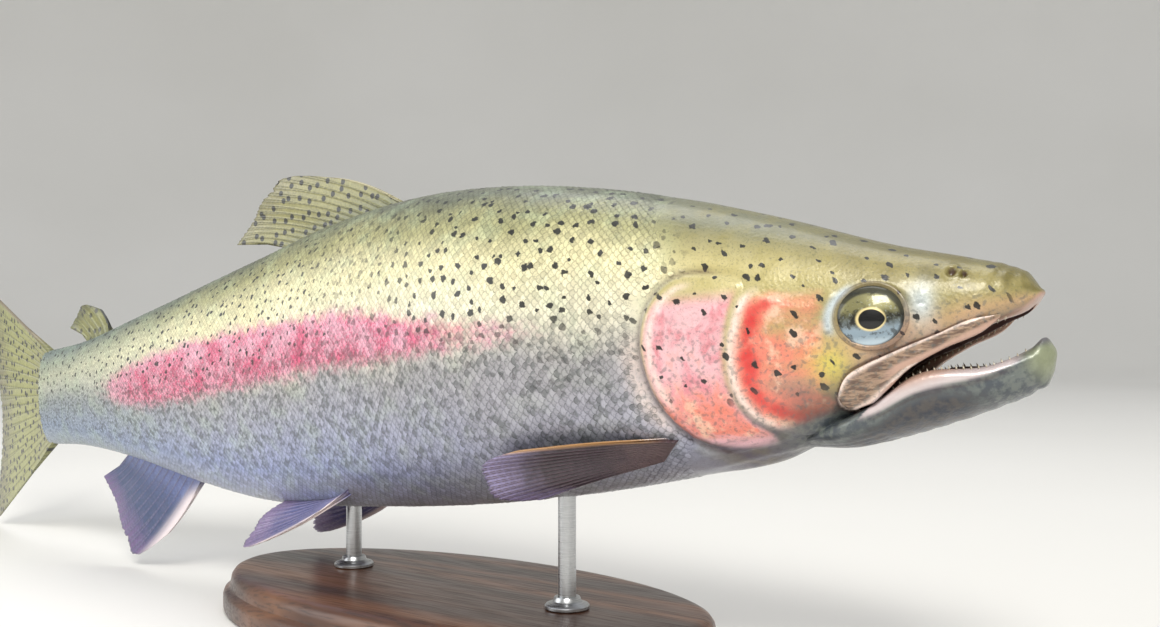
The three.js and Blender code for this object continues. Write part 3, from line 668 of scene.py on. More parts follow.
def buildMarkings():
    # Colours, spots and silver of the fish, shared by the skin and the scales on it.
    group, given, out = newGroup("troutMarkings", [
        ("Place", "Vector"), ("Wrap", "Vector"), ("Body", "Vector"), ("Head", "Vector"), ("Face", "Vector"),
        ("Mouth", "Vector"), ("Jaw", "Vector"), ("Edge", "Vector"), ("Scale Tone", "Float"), ("Scale Rim", "Float")],
        [("Color", "Color"), ("Silver", "Float"), ("Wet", "Float")])
    place, wrap = given["Place"], given["Wrap"]
    body, head, face, mouth, jaw, edge = (split(group, given[name])
                                          for name in ("Body", "Head", "Face", "Mouth", "Jaw", "Edge"))
    t = skinTones
    at = split(group, place)
    broad = noise(group, place, 0.035, 3.0)
    patchy = noise(group, place, 0.11, 3.0)
    fine = noise(group, place, 0.35, 4.0, 0.6)
    grain = noise(group, place, 1.5, 3.0, 0.65)

    def over(colour, mask, share, second):
        return mixTone(group, calc(group, "MULTIPLY", mask, share), colour, second)

    # trunk from back to belly, whose lavender blue is its own silver with painted cool shade, then the head over it
    down = calc(group, "ADD", body[1], calc(group, "MULTIPLY_ADD", broad, 0.12, -0.06))
    trunk = ramp(group, down, [(0.0, t["back"]), (0.09, t["back"]), (0.19, t["shoulder"]), (0.30, t["upperFlank"]),
                               (0.43, t["flank"]), (0.56, t["lowerFlank"]), (0.80, t["belly"]),
                               (0.98, t["underBelly"])])
    trunk = over(trunk, step(group, at[0], 290.0, 470.0), 0.5, t["tailward"])
    trunk = over(trunk, step(group, patchy, 0.45, 0.7), 0.22, tone(186, 206, 172))
    greyFront = calc(group, "MULTIPLY", step(group, at[0], 140.0, 260.0, (1.0, 0.0)), step(group, down, 0.46, 0.62))
    trunk = over(trunk, greyFront, 0.6, tone(156, 152, 154))
    ragged = calc(group, "MULTIPLY_ADD", fine, 0.7, calc(group, "MULTIPLY_ADD", patchy, 0.7, -0.7))
    roseMask = calc(group, "ADD", body[0], ragged)
    roseTone = mixTone(group, step(group, calc(group, "MULTIPLY_ADD", patchy, 0.8, grain), 0.70, 1.06), t["rose"],
                       t["roseLight"])
    trunk = mixTone(group, calc(group, "MULTIPLY", step(group, roseMask, 0.06, 0.62), step(group, body[0], 0.0, 0.3)),
                    trunk, roseTone)
    # The head's colour runs down into a dark painted shade at the throat.
    headTone = ramp(group, down, [(0.0, t["headTop"]), (0.16, t["headTop"]), (0.30, t["headSide"]),
                                  (0.46, t["headSide"]), (0.58, t["cheek"]), (0.74, t["throat"]), (1.0, t["throat"])])
    headTone = over(headTone, step(group, patchy, 0.42, 0.64), 0.22, tone(146, 132, 52))
    # The front of the head turns deep olive: partly its own colour, partly painted shade on the snout.
    snoutOliveAndShade = calc(group, "MULTIPLY", step(group, at[0], 22.0, 88.0, (1.0, 0.0)), step(group, down, 0.42, 0.6, (1.0, 0.0)))
    headTone = over(headTone, snoutOliveAndShade, step(group, patchy, 0.40, 0.62, (0.95, 0.6)), t["snout"])
    colour = mixTone(group, head[2], trunk, headTone)

    # gill cover and cheek: streaks run along the cover's edge
    streakPlace = put(group, "ShaderNodeCombineXYZ", {0: calc(group, "MULTIPLY_ADD", edge[1], 0.20, calc(group, "MULTIPLY", patchy, 2.2)),
                                                      1: calc(group, "MULTIPLY", at[2], 0.09)}).outputs[0]
    streaks = noise(group, streakPlace, 1.0, 4.0, 0.6)
    pink = mixTone(group, step(group, streaks, 0.34, 0.64), t["pinkDeep"], t["pinkLight"])
    colour = over(colour, head[1], 0.92, pink)
    redPatch = step(group, calc(group, "MULTIPLY_ADD", patchy, 0.7, head[0]), 1.0, 1.35)
    redTone = mixTone(group, redPatch, t["redLight"], t["redDeep"])
    redMask = calc(group, "MULTIPLY", step(group, calc(group, "MULTIPLY_ADD", streaks, 1.7, head[0]), 0.92, 1.75),
                   step(group, head[0], 0.0, 0.12))
    colour = mixTone(group, redMask, colour, redTone)
    creamPatch = calc(group, "MULTIPLY", step(group, noise(group, place, 0.15, 4.0, 0.6), 0.50, 0.66, (0.0, 0.7)),
                      step(group, head[0], 0.15, 0.5))
    colour = mixTone(group, without(group, creamPatch, redPatch), colour, t["cream"])
    # Painted shade: the low front of the cheek darkens towards the throat.
    lowCheekShade = calc(group, "MULTIPLY", step(group, calc(group, "MULTIPLY_ADD", patchy, 5.0, at[2]), -21.0, -11.0, (1.0, 0.0)),
                    step(group, at[0], 60.0, 77.0, (1.0, 0.0)))
    colour = over(colour, lowCheekShade, 0.85, t["lowCheekShade"])
    colour = over(colour, face[1], 0.85, t["gold"])
    colour = over(colour, edge[0], step(group, fine, 0.25, 0.6, (0.55, 0.95)), t["bone"])
    colour = over(colour, face[0], 0.9, t["silver"])

    # jaws, their lower side darkened with painted shade
    jawTone = mixTone(group, jaw[2], mixTone(group, step(group, fine, 0.38, 0.60), t["jaw"], t["jawCool"]),
                      mixTone(group, step(group, fine, 0.40, 0.62), t["jawUnderShade"], t["jawBrown"]))
    jawTone = over(jawTone, jaw[1], 0.7, t["jawTip"])
    colour = mixTone(group, face[2], colour, jawTone)
    grainTurn = put(group, "ShaderNodeMapping", {"Vector": place, "Rotation": (0, math.radians(-32), 0),
                                                 "Scale": (0.16, 0.9, 1.1)}).outputs[0]
    boneTone = mixTone(group, step(group, noise(group, grainTurn, 1.0, 3.0, 0.6), 0.40, 0.62), t["maxilla"],
                       t["maxillaDark"])
    # pale rim: own pale border with a painted edge highlight
    boneTone = over(boneTone, edge[2], 0.9, t["bone"])
    colour = mixTone(group, jaw[0], colour, boneTone)

    # speckle and the scales' own shading
    dust = calc(group, "MULTIPLY", step(group, grain, 0.50, 0.70),
                step(group, body[1], 0.0, 0.72, (0.5, 0.22)))
    colour = mixTone(group, without(group, dust, face[2]), colour, tone(72, 78, 62))
    speckle = noise(group, place, 0.75, 2.0, 0.5)
    flecks = step(group, calc(group, "MULTIPLY_ADD", given["Scale Tone"], 0.35, speckle), 0.50, 0.66, (1.0, 0.0))
    flecks = calc(group, "MULTIPLY", flecks, calc(group, "MULTIPLY", step(group, body[1], 0.40, 0.52),
                                                  step(group, body[1], 0.74, 0.9, (0.5, 0.0))))
    colour = mixTone(group, flecks, colour, tone(84, 92, 90))
    colour = shade(group, colour, calc(group, "MULTIPLY_ADD", given["Scale Tone"], 0.36, 0.82))
    colour = shade(group, colour, step(group, given["Scale Rim"], 0.62, 1.0, (1.05, 0.66)))

    cheekward = step(group, calc(group, "MAXIMUM", head[0], head[1]), 0.0, 0.4)
    spots = calc(group, "MULTIPLY", buildSpots(group, place, wrap, head[2], cheekward), body[2])
    spots = without(group, without(group, spots, mouth[1]), jaw[0])
    colour = mixTone(group, calc(group, "MULTIPLY", spots, 0.97), colour, t["spot"])
    lipTone = mixTone(group, face[2], t["upperLip"], mixTone(group, fine, t["lip"], t["lipPink"]))
    colour = over(colour, mouth[1], 0.93, lipTone)
    # painted shade in the creases and pits
    colour = over(colour, mouth[2], 0.85, t["creviceShade"])
    colour = mixTone(group, mouth[0], colour, mixTone(group, fine, t["mouth"], tone(108, 74, 68)))

    silver = without(group, step(group, body[1], 0.16, 0.62, (0.08, 0.42)), spots)
    silver = without(group, silver, calc(group, "MAXIMUM", mouth[0], mouth[2]))
    silver = without(group, silver, calc(group, "MULTIPLY", head[2], 0.6))
    group.links.new(colour, out["Color"])
    group.links.new(silver, out["Silver"])
    group.links.new(step(group, fine, 0.3, 0.7, (0.28, 0.44)), out["Wet"])
    return group


markings = buildMarkings()


def fishMaterial(name, scaled):
    material, tree, shader = newMaterial(name)
    use = put(tree, "ShaderNodeGroup", node_tree=markings)
    for socket, layer in (("Place", "fishPlace"), ("Wrap", "fishWrap"), ("Body", "bodyMarks"), ("Head", "headMarks"),
                          ("Face", "faceMarks"), ("Mouth", "mouthMarks"), ("Jaw", "jawMarks"), ("Edge", "edgeMarks")):
        tree.links.new(layerVector(tree, layer), use.inputs[socket])
    place = layerVector(tree, "fishPlace")
    if scaled:
        scale = split(tree, layerVector(tree, "scaleMarks"))
        tree.links.new(scale[0], use.inputs["Scale Tone"])
        tree.links.new(scale[1], use.inputs["Scale Rim"])
        rings = calc(tree, "SINE", calc(tree, "MULTIPLY", scale[1], 42.0))
        height = calc(tree, "MULTIPLY_ADD", rings, 0.25, noise(tree, place, 3.0, 2.0))
        bump = put(tree, "ShaderNodeBump", {"Height": height, "Strength": 0.2, "Distance": 0.0002})
    else:
        use.inputs["Scale Tone"].default_value = 0.5
        use.inputs["Scale Rim"].default_value = 0.5
        pores = put(tree, "ShaderNodeTexVoronoi", {"Vector": place, "Scale": 0.9}).outputs["Distance"]
        height = calc(tree, "MULTIPLY_ADD", pores, 0.5, noise(tree, place, 0.9, 4.0, 0.6))
        bump = put(tree, "ShaderNodeBump", {"Height": height, "Strength": 0.24, "Distance": 0.0005})
    tree.links.new(use.outputs["Color"], shader.inputs["Base Color"])
    tree.links.new(use.outputs["Silver"], shader.inputs["Metallic"])
    tree.links.new(use.outputs["Wet"], shader.inputs["Roughness"])
    tree.links.new(bump.outputs[0], shader.inputs["Normal"])
    shader.inputs["Coat Weight"].default_value = 0.28
    shader.inputs["Coat Roughness"].default_value = 0.16
    return material


skinMaterial = fishMaterial("wetSkin", False)
scaleMaterial = fishMaterial("wetScales", True)

# ---- skin
skinLook = {
    "coatDepth": 0.5,        # how far the skin of the scaled body lies inside the solids
    "columns": 240,
    "flankShare": 0.28,      # how much closer the columns stand on the flanks than on back and belly
    "snoutStep": 0.4,
    "headStep": 0.62,
    "trunkStep": 6.0,
    "coverRise": 0.9,        # gill cover over the body behind it
    "coverGroove": 1.2,
    "lipRise": 0.35,
    "lowerLipRise": 0.5,
    "heelSink": 2.6,         # mm by which the lower jaw's rear end rises into the throat
    "heelNarrow": 0.5,
}


def headRelief(s, y, z):
    # Rise of the head's skin over its plain oval: bone edges, folds, lips, eye rims, nostrils, pores and gill rays.
    rise = np.zeros_like(s)
    flank = ease(np.abs(y), 6, 11)
    inCover = coverDepth(s, z)
    openEdge = ease(s + 0.25 * z, 78, 90) * flank
    coverStep = 0.5 * ease(inCover, -0.4, 0.7) + 0.5 * ease(inCover, 1.6, 5.5)
    rise += skinLook["coverRise"] * coverStep * openEdge
    rise -= skinLook["coverGroove"] * hump(inCover, -1.0, 0.75) * openEdge
    rise += 0.1 * np.cos(inCover * 2.1) * ease(inCover, 4, 7) * (1 - ease(inCover, 12, 16)) * openEdge
    front = plateFront(s, z)
    rise += 0.5 * ease(front, -0.4, 0.8) * (1 - ease(front, 2, 13)) * flank * (s < 92)
    rise -= 0.4 * hump(front, -0.6, 0.7) * flank * (s < 92)
    for name, height, width in (("suture", -0.26, 0.6), ("cheekRidge", 0.32, 1.3), ("eyeCanal", 0.2, 1.1)):
        gap, _, _ = lineGap(s, z, headLines[name])
        rise += height * hump(gap, 0, width) * flank
    for seam in headLines["cheekSeams"]:
        gap, _, _ = lineGap(s, z, seam)
        rise -= 0.2 * hump(gap, 0, 0.55) * flank
    pore = np.sqrt(((np.stack([s, z], -1)[..., None, :] - headLines["pores"]) ** 2).sum(-1)).min(-1)
    rise -= 0.4 * hump(pore, 0, 0.5) * flank
    away = eyeDistance(s, z)
    rise += (0.4 * hump(away, 1.03, 0.06) - 0.2 * hump(away, 1.17, 0.06) + 0.1 * hump(away, 1.34, 0.12)) * flank
    far = nostrilDistance(s, z)
    depth = headLines["nostrils"][1][3]
    rise += (0.35 * hump(far, 1.5, 0.35) - depth * (1 - ease(far, 0.5, 1.15))) * ease(np.abs(y), 4, 8)
    lowEdge = z - line["belly"](s)
    lipped = 1 - ease(s, 36, 44)
    rise += (skinLook["lipRise"] * hump(lowEdge, 1.4, 1.1) - 0.22 * hump(lowEdge, 3.3, 0.6)) * lipped
    gillRays = np.cos(2 * math.pi * (z + 0.22 * s) / 3.4)
    rise += 0.32 * gillRays * ease(-z, 26, 30) * ease(s, 48, 60) * (1 - ease(s, 92, 104))
    rise += 0.14 * np.sin(s * 0.9 + z * 0.35) * np.sin(z * 1.1 - s * 0.2) * ease(-z, 4, 8) * hump(s, 66, 12) * flank
    rise += 0.10 * np.sin(s * 1.5 + 2.0 * np.sin(z * 0.5)) * hump(s, 9, 7) * ease(z, 6, 10)
    return rise


def endRows(points, tip, sizes):
    # Extra rows that shrink towards a tip, to round an open end.
    sizes = np.array(sizes)[:, None, None]
    middle = points.mean(0)
    return middle + (points - middle)[None] * sizes + (1 - sizes ** 2) * (np.array(tip) - middle)


def bodyShell():
    stations = np.concatenate([np.arange(2.4, 8, 0.4), np.arange(8, 30, skinLook["snoutStep"]),
                               np.arange(30, 114, skinLook["headStep"]), np.arange(114, 484.1, skinLook["trunkStep"])])
    around = np.arange(skinLook["columns"]) / skinLook["columns"] * 2 - 1
    share = np.abs(around)
    share = share + skinLook["flankShare"] * np.sin(2 * math.pi * share) / (2 * math.pi)
    s = np.broadcast_to(stations[:, None], (len(stations), len(around)))
    angles = bodyAngle(s, np.broadcast_to(share, s.shape)) * np.where(around < 0, -1, 1)
    points = bodyPoint(s, angles)
    normals = gridNormals(points)
    y, z = points[..., 1], points[..., 2]
    headward = s < 122
    rise = np.zeros_like(z)
    rise[headward] = headRelief(s[headward], y[headward], z[headward]) * (1 - ease(s[headward], 114, 122))
    edge = coverDepth(s[headward], z[headward])
    depth = np.full_like(z, skinLook["coatDepth"])
    depth[headward] = 0.06 + (skinLook["coatDepth"] - 0.06) * ease(s[headward] - 0.3 * z[headward], 84, 104) * (
        1 - ease(edge, -1, 0.5))
    points = points + normals * (rise - depth)[..., None]
    nose = endRows(points[0], [1.8, 0, 5.9], [0.35, 0.62, 0.82, 0.95])
    tail = endRows(points[-1], [486, 0, -1], [0.95, 0.8, 0.5])
    return np.concatenate([nose, points, tail])


def jawShell():
    stations = np.concatenate([np.arange(0.4, 6, 0.35), np.arange(6, 76.1, 0.7)])
    angles = np.arange(116) / 116 * 2 * math.pi
    top, bottom = line["jawTop"](stations), line["jawBottom"](stations)
    shape = [v[:, None] for v in (stations, top, bottom, top + 0.38 * (bottom - top), line["jawHalfWidth"](stations),
                                  line["jawTopRoundness"](stations))]
    points = ovalPoint(shape[0], angles[None, :], *shape[1:5], shape[5], 2.1)
    normals = gridNormals(points)
    s, y, z = points[..., 0], points[..., 1], points[..., 2]
    under = line["jawTop"](s) - z
    lipped = (1 - ease(s, 44, 54)) * ease(s, 3, 8)
    rise = (skinLook["lowerLipRise"] * hump(under, 2.2, 1.7) - 0.45 * hump(under, 4.9, 0.7)) * lipped
    rise -= 0.5 * hump(y, 0, 0.9) * ease(-z, 18, 22) * ease(s, 8, 20)
    rise += 0.2 * np.cos(2 * math.pi * (np.abs(y) - 0.12 * s) / 3.4) * ease(s, 40, 52) * ease(-z - 0.25 * s, 16, 19)
    rise += 0.5 * hump(s, 3.5, 3) * ease(under, 0, 2) * (1 - ease(under, 7, 12))
    pore = np.hypot(2 * np.sin(math.pi * s / 6.2), under - 8.2)
    rise += (0.15 * hump(under, 8.2, 1.1) - 0.4 * hump(pore, 0, 0.5)) * ease(s, 8, 14) * (1 - ease(s, 46, 54))
    rise += 0.1 * np.sin(s * 1.1 + 1.5 * np.sin(z * 0.7)) * ease(under, 5, 8) * lipped
    rise -= skinLook["heelSink"] * ease(s, 54, 73) * np.clip(-normals[..., 2], 0, 1)
    points = points + normals * (rise - 0.06)[..., None]
    points[..., 1] *= 1 - skinLook["heelNarrow"] * ease(s, 50, 74)
    tip = endRows(points[0], [0.1, 0, -10.6], [0.35, 0.62, 0.82, 0.95])
    heel = endRows(points[-1], [77, 0, -34], [0.9, 0.5])
    return np.concatenate([tip, points, heel])


def cheekSide(s, z):
    # Half width of the head with both jaws at a height.
    top, bottom, middle = line["back"](s), line["jawBottom"](s), line["widest"](s)
    over = z >= middle
    share = np.abs(z - middle) / np.where(over, top - middle, middle - bottom)
    power = np.where(over, line["roundBack"](s), line["roundBelly"](s))
    return line["halfWidth"](s) * np.clip(1 - np.clip(share, 0, 0.995) ** power, 0, 1) ** (1 / power)


def maxillaShell(side):
    # A rounded blade carried along its middle line, grooved lengthwise, standing proud of the cheek.
    t = np.linspace(0, 1, 86)
    centre = np.stack([np.interp(t, maxillaWalk, maxillaMiddle[:, k]) for k in range(2)], -1)
    ahead = np.gradient(centre, axis=0)
    ahead /= np.linalg.norm(ahead, axis=1, keepdims=True)
    across = np.stack([-ahead[:, 1], ahead[:, 0]], -1)
    half = smoothLine(maxillaShape["half"])(t)
    angles = np.arange(52) / 52 * 2 * math.pi
    reach = np.cos(angles)[None, :] * half[:, None]
    s = centre[:, :1] + across[:, :1] * reach
    z = centre[:, 1:] + across[:, 1:] * reach
    out = np.sin(angles)[None, :]
    round_ = np.sign(out) * np.abs(out) ** 0.7
    height = np.where(out > 0, maxillaShape["proud"], maxillaShape["deep"]) * round_ * ease(t, -0.04, 0.2)[:, None]
    part = reach / half[:, None]
    groove = (0.4 * hump(part, 0.25, 0.2) + 0.12 * np.cos(t * 70)[:, None] * hump(part, -0.2, 0.5))
    groove = groove * ease(t, 0.3, 0.5)[:, None] * (out > 0)
    y = (cheekSide(s, z) + height - groove - 0.1) * side
    points = np.stack([s, y, z], -1)
    foot = endRows(points[-1], points[-1].mean(0) + np.array([1.6, 0, -1.4]), [0.93, 0.72, 0.4])
    start = endRows(points[0], points[0].mean(0) + np.array([-0.8, 0, 0.3]), [0.4, 0.8])
    return np.concatenate([start, points, foot])


def mouthShell():
    stations = np.linspace(5.6, 62, 60)[:, None]
    angles = (np.arange(64) / 64 * 2 * math.pi)[None, :]
    roof, floor = line["mouthRoof"](stations), line["mouthFloor"](stations)
    points = ovalPoint(stations, angles, roof, floor, (roof + floor) / 2, line["mouthHalfWidth"](stations), 2.4, 2.8)
    ridges = 0.3 * np.cos(angles * 9) * ease(stations, 12, 24)
    points = points - gridNormals(points) * ridges[..., None]
    tip = endRows(points[0], points[0].mean(0) + np.array([-3.5, 0, 0.5]), [0.4, 0.75, 0.94])
    throat = endRows(points[-1], points[-1].mean(0) + np.array([7, 0, -2]), [0.94, 0.75, 0.4])
    return np.concatenate([tip, points, throat])


def straightMesh(name, points):
    # In the straight frame x is minus s.
    flat, faces = closedGrid(points * np.array([-1, 1, 1]))
    return newMesh(name, flat, outsideOut(flat - flat.mean(0), faces))


eyeShape = {
    "centre": [45, 17.8, 2], "radii": [11.9, 5.2, 10],
    "forward": 11,           # degrees by which the eye's outward axis leans towards the snout
    "gap": 0.12,
    "pupil": [43.7, 1.95, 3.2, 2.7],
    "ring": [43.8, 2.0, 4.25, 3.5],
}


def eyeSurface(side, along, out, up, grow=0.0):
    # An ellipsoid about its own axes, the outward one leaning towards the snout.
    lean = math.radians(eyeShape["forward"])
    radii = np.array(eyeShape["radii"]) + grow
    axes = np.array([[math.cos(lean), side * math.sin(lean), 0], [-math.sin(lean), side * math.cos(lean), 0],
                     [0, 0, 1]]) * radii[:, None]
    parts = np.stack(np.broadcast_arrays(along, out, up), -1)
    return np.array(eyeShape["centre"]) * np.array([1, side, 1]) + parts @ axes


def eyeSpace(side):
    rows = np.linspace(0, math.pi, 44)[1:-1, None]
    angles = (np.arange(72) / 72 * 2 * math.pi)[None, :]
    return eyeSurface(side, np.sin(rows) * np.cos(angles), np.cos(rows), np.sin(rows) * np.sin(angles), eyeShape["gap"])


def buildSkin():
    upper = straightMesh("upper", bodyShell())
    jaw = straightMesh("jaw", jawShell())
    mouth = straightMesh("mouth", mouthShell())
    maxillae = [straightMesh("maxilla", maxillaShell(side)) for side in (-1, 1)]
    joined = joinShapes(upper, [jaw], "UNION")
    joined = joinShapes(joined, [mouth, *[straightMesh("eye", eyeSpace(side)) for side in (-1, 1)]], "DIFFERENCE")
    joined = joinShapes(joined, maxillae, "UNION")
    softenCreases(joined, 28, 2, 3)
    return joined


skinMesh = buildSkin()
straight = meshPoints(skinMesh) * np.array([-1, 1, 1])
print("skin joined:", len(skinMesh.polygons), "faces", straight.min(0), straight.max(0))
giveVectors(skinMesh, **markPoints(straight))
skinMesh.vertices.foreach_set("co", toRow(straight).astype(np.float32).ravel())
skinMesh.polygons.foreach_set("use_smooth", np.ones(len(skinMesh.polygons), bool))
skinMesh.update()
skinMesh.materials.clear()
newPiece("troutSkin", skinMesh, skinMaterial,
         ["head", "jaw_lower", "maxilla_right", "maxilla_left", "gill_cover_right", "gill_cover_left",
          "trunk_front", "trunk_mid", "trunk_rear", "tail_root"])
eyeFoldLook = {"around": 160, "columns": 14, "inward": 0.35, "wide": 0.8, "thick": 0.5}


def eyeFold(side, word):
    # A fold of skin, oval across, along the line where the eye's ellipsoid leaves the cheek.
    count, columns = eyeFoldLook["around"], eyeFoldLook["columns"]
    angles = (np.arange(count) / count * 2 * math.pi)[:, None]
    fromAxis = np.linspace(0.3, math.pi / 2, 400)[None, :]
    ball = eyeSurface(1, np.sin(fromAxis) * np.cos(angles), np.cos(fromAxis), np.sin(fromAxis) * np.sin(angles))
    over = ball[..., 1] - cheekSide(ball[..., 0], ball[..., 2])
    path = ball[np.arange(count), np.argmax(over < 0.1, axis=1)]
    path = sum(np.roll(path, k, 0) for k in range(-4, 5)) / 9
    around = (np.arange(columns) / columns * 2 * math.pi)[None, :, None]
    away = path - path.mean(0)
    away[:, 1] = 0
    away /= np.linalg.norm(away, axis=1, keepdims=True)
    ring = (path[:, None] + (eyeFoldLook["inward"] + eyeFoldLook["wide"] * np.cos(around)) * away[:, None]
            + eyeFoldLook["thick"] * np.sin(around) * np.array([0, 1, 0])) * np.array([1, side, 1])
    flat = ring.reshape(-1, 3)
    rows = np.arange(count)[:, None] * columns
    after = np.roll(rows, -1, 0)
    here = np.arange(columns)
    beside = np.roll(here, -1)
    quads = np.stack([rows + here, rows + beside, after + beside, after + here], -1).reshape(-1, 4)
    placed = toRow(flat)
    mesh = newMesh(f"eyeFold_{word}", placed, outsideOut(placed - placed.mean(0), [quads]))
    marks = markPoints(flat)
    # The whole fold takes the painted crease shade.
    marks["mouthMarks"][:, 2] = 0.46
    giveVectors(mesh, **marks)
    newPiece(f"eyeFold_{word}", mesh, skinMaterial)


eyeFold(1, "left")
eyeFold(-1, "right")
print("skin done")

# ---- coat of scales
coatLook = {
    "around": 88,            # scales round the fullest girth, in each ring of two staggered ones
    "pitch": 1.28,           # mm from one staggered ring to the next, at the fullest girth
    "overlap": 2.75,         # scale length in ring spacings
    "wide": 1.16,            # scale width in spacings round the body
    "lift": 0.56,            # mm from a scale's tucked front to its free edge
    "sink": 0.22,            # mm of its tucked front under the skin
    "seed": 41,
    "partAt": 310,           # station that parts the front pieces from the rear ones
}


def raised(s, share, height):
    # Point at that height over the body's own oval, along its outward direction; share runs from -1 to 1.
    side = np.where(share < 0, -1, 1)
    share = np.where(np.abs(share) > 1, share - 2 * side, share)
    side = np.where(share < 0, -1, 1)

    def at(s, share):
        point = bodyPoint(s, bodyAngle(s, np.abs(share)))
        return point * np.stack([np.ones_like(s), np.where(share < 0, -1.0, 1.0), np.ones_like(s)], -1)

    here = at(s, share)
    lean = 0.004
    round_ = at(s, np.clip(share + lean, -1, 1)) - at(s, np.clip(share - lean, -1, 1))
    back = at(s + 1, share) - at(s - 1, share)
    normal = np.cross(back, round_)
    normal /= np.maximum(np.linalg.norm(normal, axis=-1, keepdims=True), 1e-9)
    outward = np.sign((normal * (here - np.stack([s, 0 * s, line["widest"](s)], -1))).sum(-1))
    return here + normal * (outward * height)[..., None]


def scaleRoots():
    # Rings of roots whose spacing follows the girth, every second ring half a scale further round.
    fine = np.linspace(84, 482, 1600)
    girth = np.interp(fine, wrapStations, wrapArc[:, -1])
    pitch = coatLook["pitch"] * (girth / girth.max()) ** 0.42
    rings = np.concatenate([[0], np.cumsum((1 / pitch)[:-1] * np.diff(fine))])
    stations = np.interp(np.arange(int(rings[-1])), rings, fine)
    ringPitch = np.interp(stations, fine, pitch)
    number = coatLook["around"]
    share = (np.arange(number)[None, :] + 0.5 * (np.arange(len(stations))[:, None] % 2)) * 2 / number
    share = (share + 1 / number + 1) % 2 - 1
    s = np.broadcast_to(stations[:, None], share.shape)
    pitch = np.broadcast_to(ringPitch[:, None], share.shape)
    s, share, pitch = (a.ravel() for a in (s, share, pitch))
    random = np.random.default_rng(coatLook["seed"])
    jitter = random.normal(size=(len(s), 4))
    s = s + jitter[:, 0] * 0.10
    share = share + jitter[:, 1] * 0.05 * 2 / number
    point = bodyPoint(s, bodyAngle(s, np.abs(share))) * np.stack([np.ones_like(s), np.sign(share), np.ones_like(s)], -1)
    y, z = point[:, 1], point[:, 2]
    edge = coverDepth(s, z)
    keep = (edge < -2.0) & (s - 0.42 * np.clip(z - 8, 0, 30) > 90) & (s - 0.5 * np.clip(-z - 22, 0, 30) > 96)
    keep &= (s > 112) | (np.abs(z) > 14)
    behind = np.minimum(-2.0 - edge, s - 0.42 * np.clip(z - 8, 0, 30) - 90)
    grown = ease(behind, -2, 14)
    placed = toRow(point)
    for rodAt in pose["rodsAt"]:
        rod = underBody(rodAt) * mm + rowShift
        keep &= (np.hypot(placed[:, 0] - rod[0], placed[:, 1] - rod[1]) > 0.0048) | (placed[:, 2] > rod[2] + 0.02)
    return s[keep], share[keep], pitch[keep], grown[keep], jitter[keep]


def scaleCoat():
    # Each scale is a thin closed leaf: a round rim that climbs from the tucked front to the free edge.
    s, share, pitch, grown, jitter = scaleRoots()
    rim = np.arange(10) / 10 * 2 * math.pi
    ahead = np.concatenate([np.cos(rim) * 0.5, [0.06, 0.0]])
    aside = np.concatenate([np.sin(rim) * 0.5, [0.0, 0.0]])
    climb = 0.5 + ahead
    height = coatLook["lift"] * climb - coatLook["sink"]
    height[10] += 0.13
    height[11] -= 0.06
    long = (pitch * coatLook["overlap"] * (0.7 + 0.3 * grown))[:, None]
    wide = (2 / coatLook["around"] * coatLook["wide"] * (0.74 + 0.26 * grown))[:, None]
    squeeze = 1 + 0.06 * jitter[:, 2:3]
    at = s[:, None] + 0.35 * long + ahead[None, :] * long
    round_ = share[:, None] + aside[None, :] * wide * squeeze
    tilt = (1 + 0.16 * jitter[:, 3:4]) * (0.35 + 0.65 * grown[:, None])
    points = raised(at.ravel(), round_.ravel(), (-skinLook["coatDepth"] + height[None, :] * tilt).ravel())
    count = len(s)
    print("coat:", count, "scales")
    toneOf = np.clip(0.5 + 0.3 * jitter[:, 2], 0, 1)
    far = np.concatenate([np.ones(10), [0.0, 0.0]])
    marks = np.stack(np.broadcast_arrays(toneOf[:, None], far[None, :], 0.0), -1).reshape(-1, 3)
    patch = np.stack([s / 484, 0.5 + share * 0.49], -1)[:, None] + 0.003 * np.stack([ahead, aside], -1)[None]
    return s, share, points.reshape(count, 12, 3), marks.reshape(count, 12, 3), patch


def coatPiece(name, points, marks, patch):
    count = len(points)
    ring = np.arange(10)
    top = np.stack([np.full(10, 10), ring, (ring + 1) % 10], -1)
    under = np.stack([np.full(10, 11), (ring + 1) % 10, ring], -1)
    leaf = np.concatenate([top, under])[:, ::-1]
    faces = (leaf[None] + 12 * np.arange(count)[:, None, None]).reshape(-1, 3)
    flat = points.reshape(-1, 3)
    mesh = newMesh(name, toRow(flat), [faces])
    layers = markPoints(flat)
    layers["scaleMarks"] = marks.reshape(-1, 3)
    giveVectors(mesh, **layers)
    loops = np.empty(len(mesh.loops), np.int32)
    mesh.loops.foreach_get("vertex_index", loops)
    bake = mesh.uv_layers.new(name="OFBake")
    bake.data.foreach_set("uv", patch.reshape(-1, 2)[loops].astype(np.float32).ravel())
    edges = meshEdges(mesh)
    rimEdge = (edges % 12 < 10).all(1)
    sharp = mesh.attributes.new("sharp_edge", "BOOLEAN", "EDGE")
    sharp.data.foreach_set("value", rimEdge)
    newPiece(name, mesh, scaleMaterial)


scaleS, scaleShare, scalePoints, scaleMarks, scalePatch = scaleCoat()
for word, sideOf in (("right", scaleShare < 0), ("left", scaleShare >= 0)):
    for part, lengthOf in (("front", scaleS < coatLook["partAt"]), ("rear", scaleS >= coatLook["partAt"])):
        chosen = sideOf & lengthOf
        coatPiece(f"scaleCoat_{word}_{part}", scalePoints[chosen], scaleMarks[chosen], scalePatch[chosen])
print("coat done")

